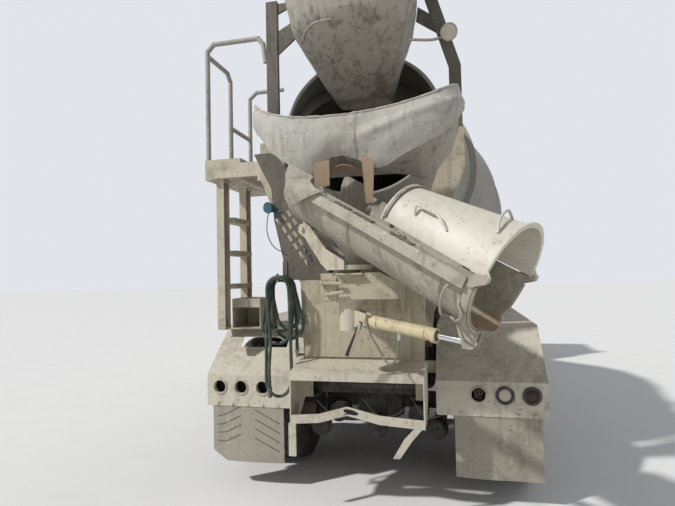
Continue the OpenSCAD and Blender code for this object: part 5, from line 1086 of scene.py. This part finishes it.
def makePostWork(s):
    piece = Piece("postPlates", "towerCream")
    # The plates' places were taken with the post's face at "face"; they move with the face that is met
    face = hit("chute_post", at(0.0, -1.2, 1.56), (0, 1, 0))[1]
    shift = np.array([0, face - at(0, s["face"], 0)[1], 0])
    for low, high in s["plates"]:
        piece.block(at(*low) + shift, at(*high) + shift, 0.003)
    for a, b, r in s["pins"]:
        way = at(*b) - at(*a)
        start, far = at(*a) + shift, float(np.linalg.norm(way))
        piece.lathe([(0, 0), (r * 0.8, 0), (r, 0.002), (r, far - 0.002), (r * 0.8, far), (0, far)], start, way, 16)
        piece.lathe(disc(r * 1.6, 0.010, 0.020), start, way, 6)
    piece.make()
    straps = Piece("foldStraps", "guardDark", body="main_chute", slot="hopper_steel")
    r, t = chute["radius"], np.linspace(0, 1, 9)
    for x0, x1 in s["straps"]:
        near = np.c_[x0 + (x1 - x0) * t, -r - 0.028 + 0.006 * np.sin(17 * t + x0 * 9)]
        far = np.c_[x1 - (x1 - x0) * t, -r + 0.020 + 0.012 * np.sin(13 * t + x1 * 7)]
        straps.slab(np.vstack([near, far]), chuteAlong, chuteAcross, chutePlace(0, 0, 0.0125), 0.006, 0.001)
    straps.make()
    # Torn hole as painted shade: a thin near-black slanted oval on the bar's rear face, at the middle of the heights
    # where a line meets it
    hole = Piece("bumperDent", "holeDark", slot="trim")
    x, low, high = s["oval"]
    met = [hit("rear_apron", at(x, -1.2, z), (0, 1, 0)) for z in np.arange(low, high, 0.004)]
    face = min(p[1] for p in met if p[1] > at(0, -1.1, 0)[1])
    p = np.mean([p for p in met if abs(p[1] - face) < 0.003], axis=0)
    c, sn = circle(28, 1.0).T
    hole.slab(np.c_[0.050 * c, 0.016 * sn - 0.010 * c], (1, 0, 0), (0, 0, 1), p + (0, 0.0015, 0), 0.003, 0.0006)
    hole.make()


makePostWork(postWork)
print("stage: rear fittings")

# Wheel nuts in a ring on each disc, and the hub's end: both stand where the disc's face is met
wheels = {"nuts": 10, "circle": 0.1675, "nut": 0.0175, "firstNut": 0.2, "capBolts": 8,
          "front": {"cap": [(0, -0.004), (0.068, -0.004), (0.068, 0.012), (0.058, 0.018), (0.052, 0.030),
                            (0.020, 0.036), (0, 0.036)], "boltCircle": 0.062},
          "rear": {"cap": [(0, -0.004), (0.105, -0.004), (0.105, 0.014), (0.060, 0.020), (0.050, 0.034), (0, 0.036)],
                   "boltCircle": 0.084}}


def makeWheels(s):
    n = s["nut"]
    nut = [(0, 0.002), (n, 0.002), (n, 0.022), (0.8 * n, 0.026), (0.011, 0.026), (0.011, 0.040), (0, 0.042)]
    for name in [n for n in nodes if n.startswith("rim")]:
        low, high = corners(name)
        centre = (low + high) / 2
        side = float(np.sign(centre[0]))
        out = (side, 0, 0)
        piece = Piece(pieceName("hub", name), "castIron", body=bodyOf[name], slot="cast")
        for y, z in circle(s["nuts"], s["circle"], s["firstNut"]):
            p = hit(name, centre + (side, y, z), (-side, 0, 0))
            piece.lathe(disc(1.35 * n, -0.002, 0.004), p, out, 16)
            piece.lathe(nut, p, out, 6)
        p = hit(name, centre + out, (-side, 0, 0))
        kind = s[axleKind(name)]
        piece.lathe(kind["cap"], p, out, 36)
        for y, z in circle(s["capBolts"], kind["boltCircle"]):
            piece.bolt(p + (side * 0.012, y, z), out, 0.0062)
        piece.make()


makeWheels(wheels)

# Drum: weld beads round it and the bolted hatch; rows are distance from the mouth and radius, the hatch is
# (from, to) along the drum and (from, to) round it in radians
drum = {"mouth": (0.0, 0.120, 2.750), "tilt": 13.0,
        "rows": [(0, 0.59), (0.15, 0.64), (0.95, 0.83), (1.9019, 1.11), (2.2795, 1.175), (2.8801, 1.175),
                 (3.2987, 1.085), (4.2497, 0.74), (4.55, 0.62)],
        "beads": [0.42, 0.98, 1.902, 2.28, 2.880, 3.299, 4.250], "hatch": (2.30, 2.80), "hatchTurn": (2.62, 3.02),
        "hatchEdge": 0.03}
drumTilt = math.radians(drum["tilt"])
drumAxis = np.array([0.0, math.cos(drumTilt), -math.sin(drumTilt)])
drumSide = np.array([1.0, 0.0, 0.0])
drumUp = np.cross(drumSide, drumAxis)


# Radius read off the rows in straight stretches
def drumRadius(along):
    return np.interp(along, *np.array(drum["rows"]).T)


# Point on the drum: along its axis, and out by radius and rise at an angle from its right side
def drumPlace(along, angle, rise):
    r = drumRadius(along) + rise
    around = (r * np.cos(angle))[..., None] * drumSide + (r * np.sin(angle))[..., None] * drumUp
    return at(*drum["mouth"]) + np.asarray(along)[..., None] * drumAxis + around


def makeDrum(s):
    piece = Piece("drumWelds", "drumGrey", body="drum", slot="drum_paint", sharp=50)
    for b in s["beads"]:
        r = float(drumRadius(b))
        bead = [(r - 0.003, b - 0.009), (r + 0.003, b - 0.004), (r + 0.0038, b), (r + 0.003, b + 0.004),
                (r - 0.003, b + 0.009)]
        piece.lathe(bead, at(*s["mouth"]), drumAxis, 120, ring=True)
    piece.make()
    hatch = Piece("drumHatch", "drumGrey", body="drum", slot="drum_paint", sharp=40)
    (y0, y1), (a0, a1), edge = s["hatch"], s["hatchTurn"], s["hatchEdge"]
    u, v = grid(np.linspace(y0, y1, 16), np.linspace(a0, a1, 16))
    hatch.sheet(drumPlace(u, v, 0.014), 0.016)
    for a in np.linspace(a0 + edge, a1 - edge, 5):
        for along in (y0 + edge, y1 - edge):
            foot = drumPlace(np.array(along), a, 0.012)
            hatch.bolt(foot, drumPlace(np.array(along), a, 0.05) - foot, 0.014)
    hatch.make()


makeDrum(drum)

# Cab and hood: places are in the shared frame, forward from the middle of the truck. The mirror is (inner x,
# outer x, y, lowest z, highest z), the bezel its corners beside each headlamp
cab = {"lampX": [-0.80, -0.36, 0.0, 0.36, 0.80], "lampBack": 0.42, "lampTilt": (0, 0.25, 1),
       "lamp": [(0, -0.006), (0.030, -0.006), (0.030, 0.006), (0.024, 0.020), (0.010, 0.027), (0, 0.028)],
       "wiperX": [(-0.10, -0.70), (0.70, 0.10)], "wiperFoot": 1.90, "bladeZ": 2.02, "bladeRise": 0.50,
       "bladeReach": 0.72, "mirror": (1.17, 1.27, 2.8945, 1.96, 2.50),
       "bezel": [(0.706, 0.890), (0.944, 0.890), (0.944, 1.006), (0.706, 1.010)], "latchZ": 1.52, "hookX": 0.40,
       "hookZ": 0.60}


def makeCab(s):
    front = float(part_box("cab_shell")[1][1])
    markers = Piece("roofMarkers", "amberLens", slot="clear_lens")
    for x in s["lampX"]:
        p = hit("cab_shell", (x, front - s["lampBack"], 4.0), (0, 0, -1))
        markers.lathe(s["lamp"], p, s["lampTilt"], 20)
    markers.make()
    wipers = Piece("wipers", "darkPlastic", slot="trim")
    for x0, x1 in s["wiperX"]:
        foot = hit("cab_shell", (x0, front + 1.0, s["wiperFoot"]), (0, -1, 0))
        starts = [(x0 + (x1 - x0) * s["bladeReach"] * k, front + 1.0, s["bladeZ"] + s["bladeRise"] * k)
                  for k in np.linspace(0, 1, 9)]
        blade = np.array([hit("cab_glass", p, (0, -1, 0)) for p in starts]) + (0, 0.016, 0)
        wipers.tube(blade, 0.007, 6)
        arm = [foot + (0, 0.004, 0), (foot + blade[4]) / 2 + (0, 0.022, 0), blade[4] + (0, 0.010, 0)]
        wipers.tube(arm, 0.006, 6)
    wipers.make()
    # Two glasses in each mirror's frame, and a strip under each door's window
    x0, x1, y, z0, z1 = s["mirror"]
    for side, name in ((-1, "door_left"), (1, "door_right")):
        glass = Piece(pieceName("mirrorGlass", name), "chromeRod", body=name, slot="chrome")
        for low, high in ((z0 + 0.02, z1 - 0.18), (z1 - 0.155, z1 - 0.02)):
            glass.block((side * (x0 + 0.012), y - 0.0035, low), (side * (x1 - 0.012), y + 0.001, high), 0.001)
        glass.make()
        trim = Piece(pieceName("doorTrim", name), "darkPlastic", body=name, slot="trim")
        low, high = corners(name.replace("door", "door_glass"))
        edge = [hit(name, (side * 1.6, along, low[2] - 0.014), (-side, 0, 0))
                for along in (low[1] - 0.012, high[1] + 0.010)]
        trim.tube(np.linspace(*edge, 12) + (side * 0.002, 0, 0), 0.007, 8)
        trim.make()
    lens = Piece("headlampBezels", "brightSteel", body="hood", slot="bright_steel")
    low, high = corners("headlamps")
    for side in (-1, 1):
        ring = [hit("headlamps", (side * x, high[1] + 0.5, z), (0, -1, 0)) + (0, 0.003, 0) for x, z in s["bezel"]]
        for a, b in zip(ring, ring[1:] + ring[:1]):
            lens.tube(np.linspace(a, b, 4), 0.006, 8)
    lens.make()
    latch = Piece("hoodLatches", "darkPlastic", body="hood", slot="trim")
    back = float(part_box("hood")[0][1])
    for side in (-1, 1):
        p = hit("hood", (side * 2.0, back + 0.07, s["latchZ"]), (-side, 0, 0))
        latch.block(p + (-0.012, -0.02, -0.06), p + (0.012, 0.02, 0.06), 0.004)
    latch.make()
    # Tow hooks: half loops that go back into the bumper at both ends
    hooks = Piece("towHooks", "chassisBlack", slot="chassis_paint")
    a = np.linspace(-0.5 * math.pi, 0.5 * math.pi, 12)
    loop = np.stack([0 * a, 0.018 * np.cos(a), 0.045 * np.sin(a)], axis=1)
    loop = np.vstack([(0, -0.004, -0.045), loop, (0, -0.004, 0.045)])
    for x in (-s["hookX"], s["hookX"]):
        hooks.tube(hit("front_bumper", (x, 6.0, s["hookZ"]), (0, -1, 0)) + loop, 0.008, 8)
    hooks.make()


makeCab(cab)

# Tanks and stack: straps are flat rings round them, caps and clamps are turned profiles. The fuel tank is (x, z,
# radius), the water tank (x, y, radius), the stack (x, y, silencer's radius, pipe's radius)
tanks = {"fuel": (-0.78, 0.72, 0.29), "fuelStraps": [2.06, 2.54], "fuelCap": 2.30, "capLean": (-0.55, 0, 0.83),
         "water": (-0.79, 1.415, 0.26), "waterStraps": [1.42, 1.80, 2.18],
         "cap": [(0, -0.01), (0.052, -0.01), (0.052, 0.012), (0.060, 0.014), (0.060, 0.032), (0.054, 0.038),
                 (0, 0.040)],
         "stack": (0.90, 1.665, 0.095, 0.060), "silencerClamps": (1.36, 2.24), "pipeClamps": (2.34, 3.04),
         "shieldZ": 1.44, "shieldPitch": 0.09, "shieldBars": 9}


# Flat ring with a slightly raised middle, sunk a little into the tank
def strapProfile(r, wide):
    return [(r - 0.002, -wide), (r + 0.004, -wide), (r + 0.0045, 0), (r + 0.004, wide), (r - 0.002, wide)]


def makeTanks(s):
    straps = Piece("tankStraps", "castIron", slot="cast")
    x, z, r = s["fuel"]
    for y in s["fuelStraps"]:
        straps.lathe(strapProfile(r, 0.024), (x, y, z), (0, 1, 0), 72, ring=True)
    caps = Piece("tankCaps", "brightSteel", slot="bright_steel")
    lean = s["capLean"]
    caps.lathe(s["cap"], (x + r * lean[0], s["fuelCap"], z + r * lean[2]), lean, 24)
    x, y, r = s["water"]
    for z in s["waterStraps"]:
        straps.lathe(strapProfile(r, 0.020), (x, y, z), (0, 0, 1), 72, ring=True)
    straps.make()
    caps.lathe(s["cap"], (x, y, hit("water_tank", (x, y, 4), (0, 0, -1))[2]), (0, 0, 1), 24)
    x, y, wide, narrow = s["stack"]
    for z in s["silencerClamps"]:
        caps.lathe(hoop(wide - 0.002, wide + 0.006, 0.016), (x, y, z), (0, 0, 1), 40, ring=True)
    for z in s["pipeClamps"]:
        caps.lathe(hoop(narrow - 0.002, narrow + 0.005, 0.012), (x, y, z), (0, 0, 1), 40, ring=True)
    caps.make()
    # Shield: half hoops round the silencer, held off it by two upright rods
    shield = Piece("stackShield", "brightSteel", slot="bright_steel", sharp=60)
    turn, height = grid(np.linspace(-1.25, 1.25, 26), np.array([0, 0.03, 0.06]))
    r = wide + 0.016
    for k in range(s["shieldBars"]):
        z = s["shieldZ"] + s["shieldPitch"] * k + height
        shield.sheet(np.stack([x + r * np.cos(turn), y + r * np.sin(turn), z], axis=2), 0.003)
    r = wide + 0.008
    for a in (-1.2, 1.2):
        shield.tube([(x + r * math.cos(a), y + r * math.sin(a), z) for z in (1.42, 1.8, 2.23)], 0.010, 8)
    shield.make()


makeTanks(tanks)
print("stage: drum, cab and tanks")

# Studio: pale floor, soft sky, and a broad light from the left behind the truck; the lights are rows of name,
# turn, height above the floor in degrees, strength and softness
studio = {"floor": (0.80, 0.79, 0.77), "floorHalf": 60.0, "sky": (0.84, 0.87, 0.92), "skySeen": 0.9,
          "skyLight": (0.90, 0.94, 1.0), "skyLit": 0.36,
          "lights": [("keySun", -50, 44, 2.7, 2.5), ("fillSun", 150, 35, 0.35, 25.0)]}


def makeStudio(s):
    me = bpy.data.meshes.new("floor")
    r = s["floorHalf"]
    me.from_pydata([(-r, -r, 0), (r, -r, 0), (r, r, 0), (-r, r, 0)], [], [(0, 1, 2, 3)])
    floor = bpy.data.objects.new("floor", me)
    scene.collection.objects.link(floor)
    f = Finish("floorPaint")
    shade = f.mix(f.step(f.noise(3.0, 4.0), 0.3, 0.7) * 0.3, s["floor"], shaded(s["floor"], 0.93))
    me.materials.append(f.finish(shade, 0.85))
    # The camera sees one sky and the object is lit by a dimmer one
    w = Shader(bpy.data.worlds.new("studioSky"))
    scene.world = w.owner
    lit = w.node("ShaderNodeBackground", Color=s["skyLight"], Strength=s["skyLit"])
    seen = w.node("ShaderNodeBackground", Color=s["sky"], Strength=s["skySeen"])
    toCamera = w.node("ShaderNodeLightPath", out="Is Camera Ray")
    w.node("ShaderNodeOutputWorld", Surface=w.node("ShaderNodeMixShader", n0=toCamera, n1=lit, n2=seen))
    for name, turn, tilt, level, size in s["lights"]:
        data = bpy.data.lights.new(name, "SUN")
        data.energy = level
        data.angle = math.radians(size)
        lamp = bpy.data.objects.new(name, data)
        scene.collection.objects.link(lamp)
        a, b = math.radians(turn), math.radians(tilt)
        towards = Vector((math.sin(a) * math.cos(b), -math.cos(a) * math.cos(b), math.sin(b)))
        lamp.rotation_euler = towards.to_track_quat("Z", "Y").to_euler()


makeStudio(studio)
print("stage: studio")
